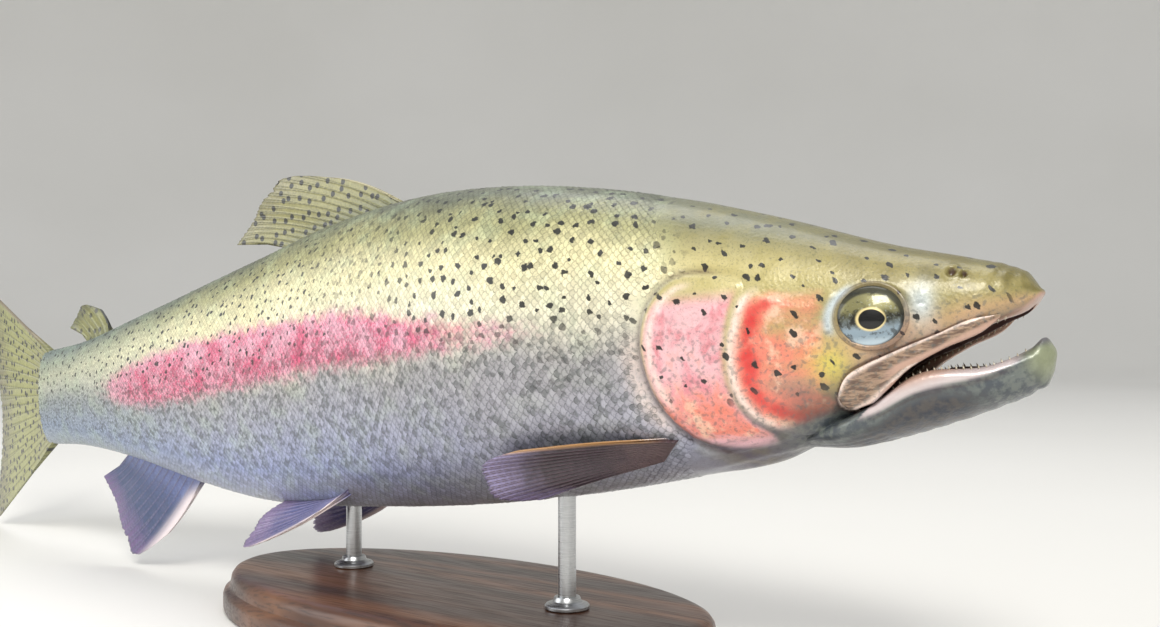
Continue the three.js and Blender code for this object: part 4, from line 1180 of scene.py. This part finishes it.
# ---- fins
finShape = {
    "dorsal": {"rays": 13, "roots": [226, 291], "line": "back", "sink": 3, "thick": 2.0, "sweep": 2,
               "lengths": [[0, 42], [0.08, 60], [0.3, 62], [0.7, 48], [1, 36]],
               "angles": [[0, 20], [0.3, 14], [1, 5]]},
    "anal": {"rays": 12, "roots": [354, 404], "line": "belly", "sink": -3, "thick": 2.0, "sweep": -2,
             "lengths": [[0, 38], [0.08, 54], [0.3, 52], [0.7, 38], [1, 27]],
             "angles": [[0, -38], [0.3, -33], [1, -19]]},
    "adipose": {"rays": 5, "roots": [416, 434], "line": "back", "sink": 3, "thick": 3.2, "sweep": 1.5,
                "lengths": [[0, 15], [0.25, 23], [0.6, 25], [1, 22]],
                "angles": [[0, 44], [0.5, 33], [1, 17]]},
    "caudal": {"rays": 21, "length": 92, "spread": 122, "fork": 16, "corner": 7, "thick": 3.2},
    "pelvic": {"rays": 10, "thick": 1.9, "roots": [[250, 15, -44], [258, 8.5, -46]],
               "lengths": [[0, 48], [0.15, 61], [0.5, 56], [1, 42]],
               "first": [56, 9, -25], "last": [60, -1, -5], "sweep": [0, 2, -2], "normal": [0.2, 0.85, 0.5]},
    "pectoral": {"rays": 14, "thick": 2.0, "roots": [[104, 22, -29], [111, 17, -35]],
                 "lengths": [[0, 50], [0.12, 58], [0.5, 60], [0.85, 53], [1, 43]],
                 "first": [66, 14, -1], "last": [60, 8, -17], "sweep": [0, 3, 1], "normal": [0.2, 0.86, -0.42]},
}
finDetail = {"perRay": 14, "rows": 46, "rayHeight": 0.34, "membrane": 0.5, "wave": 0.7, "notch": 0.014}


def midlinePlan(fin, t):
    s = fin["roots"][0] + (fin["roots"][1] - fin["roots"][0]) * t
    at = line[fin["line"]](s)
    lean = np.radians(smoothLine(fin["angles"])(t))
    reach = smoothLine(fin["lengths"])(t)
    flat = np.zeros_like(t)
    root = np.stack([s, flat, at - fin["sink"]], -1)
    tip = np.stack([s + reach * np.cos(lean), flat, at + reach * np.sin(lean)], -1)
    return root, tip, np.stack([flat, flat, flat + fin["sweep"]], -1), np.array([0, 1, 0])


def tailPlan(fin, t):
    spread = 2 * t - 1
    flat = np.zeros_like(t)
    root = np.stack([476 + 2 * np.sin(math.pi * t), flat, 20 - 42 * t], -1)
    fork = fin["fork"] * (1 - np.abs(spread) ** 1.4)
    corner = fin["corner"] * np.abs(spread) ** 12
    tip = np.stack([480 + fin["length"] - fork - corner, flat, -spread * fin["spread"] / 2 - 2], -1)
    return root, tip, np.stack([6 * np.abs(spread), flat, -spread * 3], -1), np.array([0, 1, 0])


def pairedPlan(fin, t):
    first, last = np.array(fin["roots"], float)
    root = first + (last - first) * t[:, None]
    way = np.array(fin["first"], float) + (np.array(fin["last"], float) - np.array(fin["first"], float)) * t[:, None]
    way /= np.linalg.norm(way, axis=1, keepdims=True)
    tip = root + way * smoothLine(fin["lengths"])(t)[:, None]
    normal = np.array(fin["normal"], float)
    return root, tip, np.array(fin["sweep"], float) * (1 - t[:, None] * 0.5), normal / np.linalg.norm(normal)


def rayRelief(phase, u):
    # Rays stand at whole phases; each parts in two past its middle and in four near its tip.
    off = phase - np.round(phase)
    first = 0.17 * ease(u, 0.38, 0.95)
    second = 0.07 * ease(u, 0.72, 1.0)
    width = 0.15 - 0.09 * u
    total = np.zeros_like(off + u)
    for a in (-1, 1):
        for b in (-1, 1):
            total = np.maximum(total, hump(off, a * first + b * second, width))
    return total


def finGrid(plan, fin, flip=1):
    # A closed leaf: up one face from root to edge and down the other, carried along the line of rays.
    columns = fin["rays"] * finDetail["perRay"] + 1
    t = np.linspace(0, 1, columns)
    u = np.linspace(0, 1, finDetail["rows"])
    root, tip, sweep, normal = plan(fin, t)
    phase = t * fin["rays"]
    relief = rayRelief(phase[:, None], u[None, :])
    edge = 1 - finDetail["notch"] * (1 - rayRelief(phase, np.ones(columns)))
    edge -= 0.007 * (1 + np.sin(phase * 9.1)) * np.sin(phase * 3.7 + 1) ** 2
    reach = u[None, :] * edge[:, None]
    middle = (root[:, None] + (tip - root)[:, None] * reach[..., None]
              + sweep[:, None] * (4 * reach * (1 - reach))[..., None])
    wave = finDetail["wave"] * reach ** 1.5 * np.sin(2 * math.pi * (1.35 * t[:, None] + 0.35 * u[None, :]))
    leading = 0.30 * hump(t[:, None], 0.0, 0.02) * (1 - 0.6 * u[None, :])
    base = (fin["thick"] - finDetail["membrane"]) / 2 * (1 - ease(u, 0.0, 0.30))[None, :]
    half = (finDetail["membrane"] / 2 * (1 - 0.25 * u[None, :]) + base + leading
            + finDetail["rayHeight"] * relief * (1 - 0.72 * u[None, :]))
    half = half * (0.35 + 0.65 * (1 - ease(u, 0.985, 1.0)))[None, :]
    front = middle + normal * (wave + half)[..., None]
    back = middle + normal * (wave - half)[..., None]
    loop = np.concatenate([front, back[:, ::-1]], 1)
    place = np.stack(np.broadcast_arrays(t[:, None], u[None, :], relief), -1)
    place = np.concatenate([place, place[:, ::-1]], 1)
    loop = loop * np.array([1, flip, 1])
    return loop, place


def closedPiece(name, grid, layers, material, nodes=()):
    flat, faces = closedGrid(grid)
    placed = toRow(flat)
    mesh = newMesh(name, placed, outsideOut(placed - placed.mean(0), faces))
    filled = {}
    for layer, values in layers.items():
        values = np.asarray(values, float)
        filled[layer] = np.vstack([values.reshape(-1, values.shape[-1]), values[0].mean(0), values[-1].mean(0)])
    giveVectors(mesh, fishPlace=flat, **filled)
    return newPiece(name, mesh, material, nodes)


finTones = {
    "dorsal": {"membrane": tone(150, 146, 96), "ray": tone(104, 102, 66), "edge": tone(190, 182, 146),
               "root": tone(118, 120, 78), "tip": tone(146, 140, 110), "spots": 0.95, "spacing": 5.6, "edgeWidth": 0.03},
    "caudal": {"membrane": tone(164, 164, 104), "ray": tone(112, 114, 72), "edge": tone(132, 120, 96),
               "root": tone(158, 156, 106), "tip": tone(120, 110, 92), "spots": 0.95, "spacing": 5.6, "edgeWidth": 0.02},
    "adipose": {"membrane": tone(136, 134, 80), "ray": tone(116, 118, 70), "edge": tone(34, 36, 30),
                "root": tone(110, 112, 72), "tip": tone(60, 60, 44), "spots": 0.8, "spacing": 5.6, "edgeWidth": 0.05},
    "anal": {"membrane": tone(46, 66, 108), "ray": tone(98, 96, 130), "edge": tone(240, 226, 228),
             "root": tone(104, 118, 172), "tip": tone(124, 92, 142), "spots": 0.0, "spacing": 7.0, "edgeWidth": 0.15},
    "pelvic": {"membrane": tone(76, 80, 130), "ray": tone(126, 112, 148), "edge": tone(242, 226, 224),
               "root": tone(122, 128, 176), "tip": tone(140, 116, 152), "spots": 0.0, "spacing": 7.0, "edgeWidth": 0.20},
    # The pectoral's dark membrane and root are painted shade over the fin's own brownish violet; its brown leading edge
    # is a painted highlight.
    "pectoral": {"membrane": tone(44, 32, 42), "ray": tone(84, 64, 72), "edge": tone(176, 134, 88),
                 "root": tone(104, 84, 84), "tip": tone(156, 146, 190), "spots": 0.0, "spacing": 7.0,
                 "edgeWidth": 0.10},
}


def buildFinPattern():
    # Membrane, rays with their cross joints, leading edge and spots, from the fin's own place across and outwards.
    group, given, out = newGroup("finPattern", [
        ("Fin Place", "Vector"), ("Place", "Vector"), ("Membrane", "Color"), ("Ray", "Color"), ("Edge", "Color"),
        ("Root", "Color"), ("Tip", "Color"), ("Spots", "Float"), ("Spacing", "Float"), ("Edge Width", "Float")],
        [("Color", "Color"), ("Height", "Float")])
    across = split(group, given["Fin Place"])
    mottle = noise(group, given["Place"], 0.22, 4.0, 0.6)
    fine = noise(group, given["Place"], 1.1, 3.0, 0.6)
    outward = calc(group, "ADD", across[1], calc(group, "MULTIPLY_ADD", mottle, 0.3, -0.15))
    colour = mixTone(group, step(group, outward, 0.05, 0.42), given["Root"], given["Membrane"])
    colour = mixTone(group, step(group, outward, 0.62, 1.0, (0.0, 0.8)), colour, given["Tip"])
    colour = mixTone(group, step(group, mottle, 0.35, 0.7, (0.0, 0.3)), colour, given["Ray"])
    rays = step(group, across[2], 0.35, 0.85)
    joints = calc(group, "SINE", calc(group, "MULTIPLY", across[1], 150.0))
    rayShare = calc(group, "MULTIPLY", rays, step(group, joints, -1.0, 0.2, (0.4, 0.85)))
    colour = mixTone(group, rayShare, colour, given["Ray"])
    colour = shade(group, colour, step(group, fine, 0.3, 0.7, (0.82, 1.14)))
    at = split(group, given["Place"])
    flat = put(group, "ShaderNodeCombineXYZ", {0: at[0], 1: at[2]}).outputs[0]
    cells = put(group, "ShaderNodeTexVoronoi", {"Vector": flat, "Scale": calc(group, "DIVIDE", 1.0, given["Spacing"]),
                                                "Randomness": 0.8}, voronoi_dimensions="2D")
    spots = step(group, cells.outputs["Distance"], 0.17, 0.25, (1.0, 0.0))
    colour = mixTone(group, calc(group, "MULTIPLY", spots, given["Spots"]), colour, skinTones["spot"])
    leading = put(group, "ShaderNodeMapRange", {0: across[0], 1: 0.0, 2: given["Edge Width"], 3: 1.0, 4: 0.0},
                  interpolation_type="SMOOTHERSTEP").outputs[0]
    colour = mixTone(group, calc(group, "MULTIPLY", leading, step(group, across[1], 0.05, 0.3)), colour, given["Edge"])
    height = calc(group, "MULTIPLY_ADD", joints, calc(group, "MULTIPLY", rays, 0.5), mottle)
    group.links.new(colour, out["Color"])
    group.links.new(height, out["Height"])
    return group


finPattern = buildFinPattern()


def finMaterial(kind):
    look = finTones[kind]
    material, tree, shader = newMaterial(kind + "FinSkin")
    use = put(tree, "ShaderNodeGroup", node_tree=finPattern)
    tree.links.new(layerVector(tree, "finPlace"), use.inputs["Fin Place"])
    tree.links.new(layerVector(tree, "fishPlace"), use.inputs["Place"])
    for socket, key in (("Membrane", "membrane"), ("Ray", "ray"), ("Edge", "edge"), ("Root", "root"), ("Tip", "tip"),
                        ("Spots", "spots"), ("Spacing", "spacing"), ("Edge Width", "edgeWidth")):
        use.inputs[socket].default_value = look[key]
    bump = put(tree, "ShaderNodeBump", {"Height": use.outputs["Height"], "Strength": 0.3, "Distance": 0.0003})
    tree.links.new(use.outputs["Color"], shader.inputs["Base Color"])
    tree.links.new(bump.outputs[0], shader.inputs["Normal"])
    shader.inputs["Roughness"].default_value = 0.34
    shader.inputs["Coat Weight"].default_value = 0.5
    shader.inputs["Coat Roughness"].default_value = 0.12
    return material


finPlans = {"dorsal": midlinePlan, "anal": midlinePlan, "adipose": midlinePlan, "caudal": tailPlan,
            "pelvic": pairedPlan, "pectoral": pairedPlan}
for kind, plan in finPlans.items():
    material = finMaterial(kind)
    sides = (("", 1),) if plan is not pairedPlan else (("_left", 1), ("_right", -1))
    for word, flip in sides:
        grid, place = finGrid(plan, finShape[kind], flip)
        closedPiece(f"{kind}Fin{word}", grid, {"finPlace": place}, material, [f"fin_{kind}{word}"])
print("fins done")

# ---- eyes
eyeTones = {"top": tone(128, 124, 84), "low": tone(136, 154, 166), "dark": tone(36, 36, 30), "ring": tone(208, 190, 142),
            "pupil": tone(5, 5, 6), "pale": tone(188, 204, 214)}


def eyeMaterial():
    # Olive iris over a bluish one, a dark bar through the pupil, a thin gold ring and a pale lower arc.
    material, tree, shader = newMaterial("glassyEye")
    marks = split(tree, layerVector(tree, "eyeMarks"))
    vector = layerVector(tree, "eyePlace")
    place = split(tree, vector)
    mottle = noise(tree, vector, 4.5, 4.0, 0.6)
    streaks = noise(tree, vector, 14.0, 3.0, 0.6)
    colour = mixTone(tree, step(tree, calc(tree, "MULTIPLY_ADD", mottle, 0.4, place[2]), -0.12, 0.42), eyeTones["low"],
                     eyeTones["top"])
    bar = calc(tree, "MULTIPLY", step(tree, calc(tree, "ABSOLUTE", place[2]), 0.06, 0.30, (1.0, 0.0)),
               step(tree, mottle, 0.35, 0.6, (0.45, 1.0)))
    colour = mixTone(tree, bar, colour, eyeTones["dark"])
    colour = mixTone(tree, step(tree, mottle, 0.52, 0.64, (0.0, 0.7)), colour, eyeTones["dark"])
    colour = mixTone(tree, step(tree, streaks, 0.55, 0.75, (0.0, 0.3)), colour, eyeTones["pale"])
    colour = mixTone(tree, step(tree, place[2], -0.44, -0.66, (0.0, 0.9)), colour, eyeTones["pale"])
    colour = mixTone(tree, step(tree, marks[2], 0.84, 0.93, (0.0, 0.85)), colour, eyeTones["dark"])
    ringTone = mixTone(tree, streaks, eyeTones["ring"], tone(246, 226, 160))
    colour = mixTone(tree, step(tree, marks[1], 0.84, 1.02, (1.0, 0.0)), colour, ringTone)
    colour = mixTone(tree, step(tree, marks[0], 0.98, 1.06, (1.0, 0.0)), colour, eyeTones["pupil"])
    tree.links.new(colour, shader.inputs["Base Color"])
    tree.links.new(step(tree, marks[0], 0.97, 1.05, (0.0, 0.3)), shader.inputs["Metallic"])
    shader.inputs["Roughness"].default_value = 0.35
    shader.inputs["Specular IOR Level"].default_value = 0.25
    shader.inputs["Coat Weight"].default_value = 0.65
    shader.inputs["Coat Roughness"].default_value = 0.03
    return material


def eyeBall(side, word, material):
    # The eye's ellipsoid with a slight bulge over the pupil; the marks give how far out the pupil and its ring reach.
    rows = np.linspace(0, math.pi, 74)[1:-1, None]
    angles = (np.arange(96) / 96 * 2 * math.pi)[None, :]
    along, up = np.sin(rows) * np.cos(angles), np.sin(rows) * np.sin(angles)
    out = np.cos(rows) * np.ones_like(angles)
    grid = eyeSurface(side, along, out + 0.06 * hump(np.sin(rows), 0, 0.3) * (out > 0), up)
    s, z = grid[..., 0], grid[..., 2]
    s0, z0, halfLong, halfTall = eyeShape["pupil"]
    notch = 1 - 0.12 * ease(s0 - s, 0.6, 3.2) * hump(z, z0, 1.5)
    pupil = np.hypot((s - s0) / halfLong, (z - z0) / halfTall) * notch
    s0, z0, halfLong, halfTall = eyeShape["ring"]
    ring = np.hypot((s - s0) / halfLong, (z - z0) / halfTall)
    marks = np.stack([pupil, ring, eyeDistance(s, z)], -1)
    marks = np.where((out > 0)[..., None], marks, 2.0)
    closedPiece(f"eye_{word}_glossy", grid, {"eyeMarks": marks, "eyePlace": np.stack([along, out, up], -1)}, material,
                [f"eye_{word}"])


glossyEye = eyeMaterial()
eyeBall(1, "left", glossyEye)
eyeBall(-1, "right", glossyEye)
print("eyes done")

# ---- tongue and teeth
mouthLook = {"tongueTall": 4.4, "tongueWide": [[12, 1.0], [20, 4.2], [34, 6.2], [54, 6.8]], "teethAlong": 19,
             "toothLong": 1.1, "toothWide": 0.36}


def tongueGrid():
    stations = np.linspace(13.5, 52, 44)[:, None]
    angles = (np.arange(40) / 40 * 2 * math.pi)[None, :]
    half = smoothLine(mouthLook["tongueWide"])(stations)
    low = line["mouthFloor"](stations) + 0.4
    top = low + mouthLook["tongueTall"] * half / 6.4
    grid = ovalPoint(stations, angles, top, low, low + 0.4 * (top - low), half, 2.2, 2.0)
    grid[..., 2] -= 0.5 * hump(grid[..., 1], 0, 1.1) * (np.cos(angles) > 0) * ease(stations, 16, 24)
    tip = endRows(grid[0], grid[0].mean(0) + np.array([-1.6, 0, 0]), [0.4, 0.75, 0.94])
    heel = endRows(grid[-1], grid[-1].mean(0) + np.array([2, 0, 0]), [0.9, 0.6])
    return np.concatenate([tip, grid, heel])


def mouthMaterial():
    material, tree, shader = newMaterial("moistTongue")
    place = layerVector(tree, "fishPlace")
    fine = noise(tree, place, 0.8, 4.0, 0.6)
    colour = ramp(tree, fine, [(0.3, tone(120, 96, 90)), (0.55, tone(158, 132, 122)), (0.75, tone(176, 156, 146))])
    buds = put(tree, "ShaderNodeTexVoronoi", {"Vector": place, "Scale": 1.6}).outputs["Distance"]
    bump = put(tree, "ShaderNodeBump", {"Height": buds, "Strength": 0.4, "Distance": 0.0003})
    tree.links.new(colour, shader.inputs["Base Color"])
    tree.links.new(bump.outputs[0], shader.inputs["Normal"])
    shader.inputs["Roughness"].default_value = 0.32
    shader.inputs["Coat Weight"].default_value = 0.5
    shader.inputs["Coat Roughness"].default_value = 0.1
    return material


closedPiece("tongueFlesh", tongueGrid(), {}, mouthMaterial(), ["tongue"])


def toothCones():
    # Small hooked cones along both jaws: each is a ring of five at the gum and a point.
    count = mouthLook["teethAlong"]
    along = np.linspace(0, 1, count)
    upper = 9 + 33 * along
    lower = 7 + 34 * along
    random = np.random.default_rng(7)
    rows = []
    for side in (-1, 1):
        halfMouth = line["mouthHalfWidth"](upper)
        rows.append((np.stack([upper, side * (halfMouth + 1.0), line["belly"](upper) + 0.8], -1), -1.0))
        halfMouth = line["mouthHalfWidth"](lower)
        rows.append((np.stack([lower, side * (halfMouth + 0.7), line["jawTop"](lower) - 0.7], -1), 1.0))
    roots = np.concatenate([r for r, _ in rows])
    way = np.repeat([w for _, w in rows], count)
    size = 0.7 + 0.3 * random.random(len(roots))
    inward = -np.sign(roots[:, 1])
    ring = np.arange(5) / 5 * 2 * math.pi
    wide = mouthLook["toothWide"]
    base = roots[:, None] + np.stack([np.cos(ring) * wide, np.sin(ring) * wide, 0 * ring], -1)[None] * size[:, None, None]
    tip = roots + np.stack([0.35 * size, inward * 0.35 * size, way * mouthLook["toothLong"] * size], -1)
    foot = roots - np.stack([0 * size, 0 * size, way * 0.6], -1)
    points = np.concatenate([base, tip[:, None], foot[:, None]], 1)
    a = np.arange(5)
    b = (a + 1) % 5
    cone = np.concatenate([np.stack([np.full(5, 5), a, b], -1), np.stack([np.full(5, 6), b, a], -1)])
    turned = cone[:, ::-1]
    start = 7 * np.arange(len(roots))
    faces = np.where((way > 0)[:, None, None], cone[None], turned[None]) + start[:, None, None]
    return points.reshape(-1, 3), faces.reshape(-1, 3)


def toothMaterial():
    material, tree, shader = newMaterial("toothEnamel")
    fine = noise(tree, layerVector(tree, "fishPlace"), 1.5, 3.0)
    tree.links.new(ramp(tree, fine, [(0.3, tone(176, 164, 138)), (0.7, tone(214, 206, 188))]),
                   shader.inputs["Base Color"])
    shader.inputs["Roughness"].default_value = 0.25
    return material


teethPoints, teethFaces = toothCones()
teethMesh = newMesh("teeth", toRow(teethPoints), [teethFaces[:, ::-1]])
giveVectors(teethMesh, fishPlace=teethPoints)
newPiece("teeth", teethMesh, toothMaterial())
print("mouth done")

# ---- stand
standShape = {
    "long": 216, "wide": 112, "tall": 16,
    "profile": [[0.0, 2.0], [0.5, 0.6], [2.0, 0.0], [6.6, 0.0], [8.0, 0.5], [8.8, 1.6], [9.6, 2.6], [11.4, 3.0],
                [13.4, 3.4], [15.0, 4.6], [15.8, 6.4], [16.0, 8.4]],
    "rodRadius": 3.0, "intoBody": 16, "intoBase": 10, "collarRadius": 7.5, "collarTall": 4,
}
baseMiddle = np.array([(baseLow[0] + baseHigh[0]) / 2, (baseLow[1] + baseHigh[1]) / 2, 0])


def standBase():
    # An oval carried up a moulded edge: height and inset follow the profile, then the top closes.
    profile = np.array(standShape["profile"], float)
    flat = np.array([[16.0, 20], [16.0, 34], [16.0, 46], [16.0, 52]])
    foot = np.array([[0.0, 50], [0.0, 30], [0.0, 12], [0.0, 4]])
    rows = np.vstack([foot, profile, flat])
    angles = np.arange(160) / 160 * 2 * math.pi
    halfLong = standShape["long"] / 2 - rows[:, 1:]
    halfWide = np.maximum(standShape["wide"] / 2 - rows[:, 1:], 0.4)
    grid = np.stack([halfLong * np.cos(angles), halfWide * np.sin(angles),
                     np.broadcast_to(rows[:, :1], (len(rows), 160))], -1)
    return grid


def turnedGrid(profile, columns, centre):
    # A profile of radius and height turned round an upright axis.
    profile = np.array(profile, float)
    angles = np.arange(columns) / columns * 2 * math.pi
    grid = np.stack([profile[:, :1] * np.cos(angles), profile[:, :1] * np.sin(angles),
                     np.broadcast_to(profile[:, 1:], (len(profile), columns))], -1)
    return grid * mm + np.array(centre)


def woodMaterial():
    material, tree, shader = newMaterial("darkHardwood")
    place = put(tree, "ShaderNodeTexCoord").outputs["Object"]
    turned = put(tree, "ShaderNodeMapping", {"Vector": place, "Location": (0.0, 0.35, 0.18), "Scale": (2.2, 24.0, 24.0),
                                             "Rotation": (0.05, 0.02, 0.04)}).outputs[0]
    bend = noise(tree, turned, 1.1, 3.0, 0.55)
    rings = calc(tree, "SINE", calc(tree, "MULTIPLY", calc(tree, "ADD", bend, put(
        tree, "ShaderNodeVectorMath", {0: turned}, operation="LENGTH").outputs["Value"]), 9.0))
    pores = noise(tree, put(tree, "ShaderNodeMapping", {"Vector": place, "Scale": (60, 900, 900)}).outputs[0], 1.0, 3.0)
    colour = ramp(tree, calc(tree, "MULTIPLY_ADD", rings, 0.5, 0.5),
                  [(0.0, tone(58, 34, 20)), (0.45, tone(92, 56, 33)), (0.8, tone(112, 72, 44)), (1.0, tone(76, 44, 26))])
    dark = step(tree, pores, 0.52, 0.66, (0.0, 0.55))
    colour = mixTone(tree, dark, colour, tone(38, 22, 13))
    height = calc(tree, "MULTIPLY_ADD", dark, -1.0, calc(tree, "MULTIPLY", rings, 0.12))
    bump = put(tree, "ShaderNodeBump", {"Height": height, "Strength": 0.35, "Distance": 0.0003})
    tree.links.new(colour, shader.inputs["Base Color"])
    tree.links.new(step(tree, pores, 0.3, 0.7, (0.30, 0.46)), shader.inputs["Roughness"])
    tree.links.new(bump.outputs[0], shader.inputs["Normal"])
    shader.inputs["Coat Weight"].default_value = 0.3
    shader.inputs["Coat Roughness"].default_value = 0.25
    return material


def steelMaterial():
    material, tree, shader = newMaterial("brushedRodSteel")
    place = put(tree, "ShaderNodeTexCoord").outputs["Object"]
    brushed = put(tree, "ShaderNodeMapping", {"Vector": place, "Scale": (120, 120, 5000)}).outputs[0]
    lines = noise(tree, brushed, 1.0, 3.0, 0.6)
    tree.links.new(ramp(tree, lines, [(0.3, tone(168, 170, 172)), (0.7, tone(206, 207, 208))]),
                   shader.inputs["Base Color"])
    tree.links.new(step(tree, lines, 0.2, 0.8, (0.24, 0.40)), shader.inputs["Roughness"])
    bump = put(tree, "ShaderNodeBump", {"Height": lines, "Strength": 0.12, "Distance": 0.0001})
    tree.links.new(bump.outputs[0], shader.inputs["Normal"])
    shader.inputs["Metallic"].default_value = 1.0
    return material


def rowPiece(name, grid, material, nodes):
    flat, faces = closedGrid(grid)
    mesh = newMesh(name, flat, outsideOut(flat - flat.mean(0), faces))
    crease = np.zeros(len(mesh.edges), bool)
    crease[cornerCreases(mesh, 38)] = True
    mesh.attributes.new("sharp_edge", "BOOLEAN", "EDGE").data.foreach_set("value", crease)
    return newPiece(name, mesh, material, nodes)


rowPiece("standBaseOval", standBase() * mm + baseMiddle, woodMaterial(), ["stand_base"])
rodSteel = steelMaterial()
for word, at in zip(("front", "rear"), pose["rodsAt"]):
    foot = underBody(at) * mm + rowShift
    top = underBody(at)[2] + standShape["intoBody"]
    low = standShape["tall"] - standShape["intoBase"]
    r = standShape["rodRadius"]
    rod = [[r - 0.4, low], [r, low + 0.4], *[[r, z] for z in np.linspace(low + 4, top - 4, 6)], [r, top - 0.4],
           [r - 0.4, top]]
    centre = [foot[0], foot[1], 0]
    rowPiece(f"rod_{word}", turnedGrid(rod, 40, centre), rodSteel, [f"stand_rod_{word}"])
    base = standShape["tall"] + 0.15
    c, h = standShape["collarRadius"], standShape["collarTall"]
    ringProfile = [[c - 0.3, base], [c, base + 0.3], [c, base + 1.1], [c - 0.4, base + 1.6], [c - 1.6, base + 2.0],
                   [c - 2.7, base + 2.6], [r + 1.5, base + h - 0.5], [r + 1.2, base + h], [r + 0.08, base + h],
                   [r + 0.08, base + 2.0], [r + 0.08, base]]
    profile = np.array(ringProfile)
    angles = np.arange(48) / 48 * 2 * math.pi
    ring = np.stack([profile[:, :1] * np.cos(angles), profile[:, :1] * np.sin(angles),
                     np.broadcast_to(profile[:, 1:], (len(profile), 48))], -1) * mm + np.array(centre)
    flat = ring.reshape(-1, 3)
    wrapped = np.concatenate([gridFaces(len(profile), 48),
                              np.stack([np.arange(48) + (len(profile) - 1) * 48,
                                        (np.arange(48) + 1) % 48 + (len(profile) - 1) * 48,
                                        (np.arange(48) + 1) % 48, np.arange(48)], -1)])
    mesh = newMesh(f"collar_{word}", flat, outsideOut(flat - flat.mean(0), [wrapped]))
    crease = np.zeros(len(mesh.edges), bool)
    crease[cornerCreases(mesh, 38)] = True
    mesh.attributes.new("sharp_edge", "BOOLEAN", "EDGE").data.foreach_set("value", crease)
    newPiece(f"collar_{word}", mesh, rodSteel, [f"stand_collar_{word}"])
print("stand done")

# ---- stage, light and camera
studio = {
    "azimuth": 36.0,         # degrees between the fish's chord and the picture's right
    "side": 128.4,           # camera left of the snout, mm
    "distance": 338.8,
    "focalPixels": 1250,
    "imageWidth": 1160,
    "wallRadius": 3.2,
    "wallHeight": 2.6,
}


def studioFloor():
    # A disc that curves up into a round wall: radius and height follow a quarter circle at the edge.
    flatPart = np.linspace(0.02, studio["wallRadius"] - 1.2, 14)
    bendPart = np.linspace(0, math.pi / 2, 16)[1:]
    radius = np.concatenate([flatPart, studio["wallRadius"] - 1.2 + 1.2 * np.sin(bendPart),
                             [studio["wallRadius"]]])
    height = np.concatenate([np.zeros(14), 1.2 * (1 - np.cos(bendPart)), [studio["wallHeight"]]])
    angles = np.arange(96) / 96 * 2 * math.pi
    points = np.stack([radius[:, None] * np.cos(angles), radius[:, None] * np.sin(angles),
                       np.broadcast_to(height[:, None], (len(height), 96))], -1)
    flat = np.vstack([points.reshape(-1, 3), [[0, 0, 0]]])
    mesh = newMesh("studioFloor", flat, [gridFaces(len(height), 96)[:, ::-1],
                                         poleFaces(len(flat) - 1, np.arange(96), True)])
    floor = bpy.data.objects.new("studioFloor", mesh)
    bpy.context.scene.collection.objects.link(floor)
    material, tree, shader = newMaterial("paleFloor")
    place = put(tree, "ShaderNodeTexCoord").outputs["Object"]
    colour = ramp(tree, noise(tree, place, 1.2, 3.0), [(0.3, tone(228, 226, 221)), (0.7, tone(236, 234, 230))])
    tree.links.new(colour, shader.inputs["Base Color"])
    shader.inputs["Roughness"].default_value = 0.75
    mesh.materials.append(material)


def softBox(name, place, aim, size, power, colour=(1, 1, 1)):
    light = bpy.data.lights.new(name, "AREA")
    light.shape = "RECTANGLE"
    light.size, light.size_y = size
    light.energy = power
    light.color = colour
    lamp = bpy.data.objects.new(name, light)
    lamp.location = place
    direction = np.array(aim) - np.array(place)
    lamp.rotation_euler = Vector(direction).to_track_quat("-Z", "Y").to_euler()
    bpy.context.scene.collection.objects.link(lamp)


studioFloor()
softBox("keyLight", (0.75, -0.95, 1.15), (0, 0, 0.1), (0.6, 0.5), 19, (1.0, 0.98, 0.94))
softBox("fillLight", (-0.9, -0.9, 0.6), (0, 0, 0.12), (1.0, 0.8), 6, (0.94, 0.97, 1.0))
softBox("topLight", (0.0, 0.3, 1.5), (0, 0, 0.1), (1.2, 0.8), 8)
world = bpy.data.worlds.new("studioWorld")
world.use_nodes = True
world.node_tree.nodes["Background"].inputs[0].default_value = (0.86, 0.89, 0.93, 1)
world.node_tree.nodes["Background"].inputs[1].default_value = 0.62
bpy.context.scene.world = world
bpy.context.scene.view_settings.view_transform = "Standard"

turn = math.radians(studio["azimuth"])
snout = toRow([0, 0, 0])
rightward = np.array([math.cos(turn), math.sin(turn), 0])
forward = np.array([-math.sin(turn), math.cos(turn), 0])
eyePlace = snout + (-rightward * studio["side"] - forward * studio["distance"] + np.array([0, 0, 0.1])) * mm
cameraData = bpy.data.cameras.new("photoCamera")
cameraData.sensor_width = 36
cameraData.lens = 36 * studio["focalPixels"] / studio["imageWidth"]
cameraData.clip_start = 0.01
camera = bpy.data.objects.new("photoCamera", cameraData)
camera.location = eyePlace
camera.rotation_euler = (math.pi / 2, 0, turn)
bpy.context.scene.collection.objects.link(camera)
bpy.context.scene.camera = camera
print("stage set")
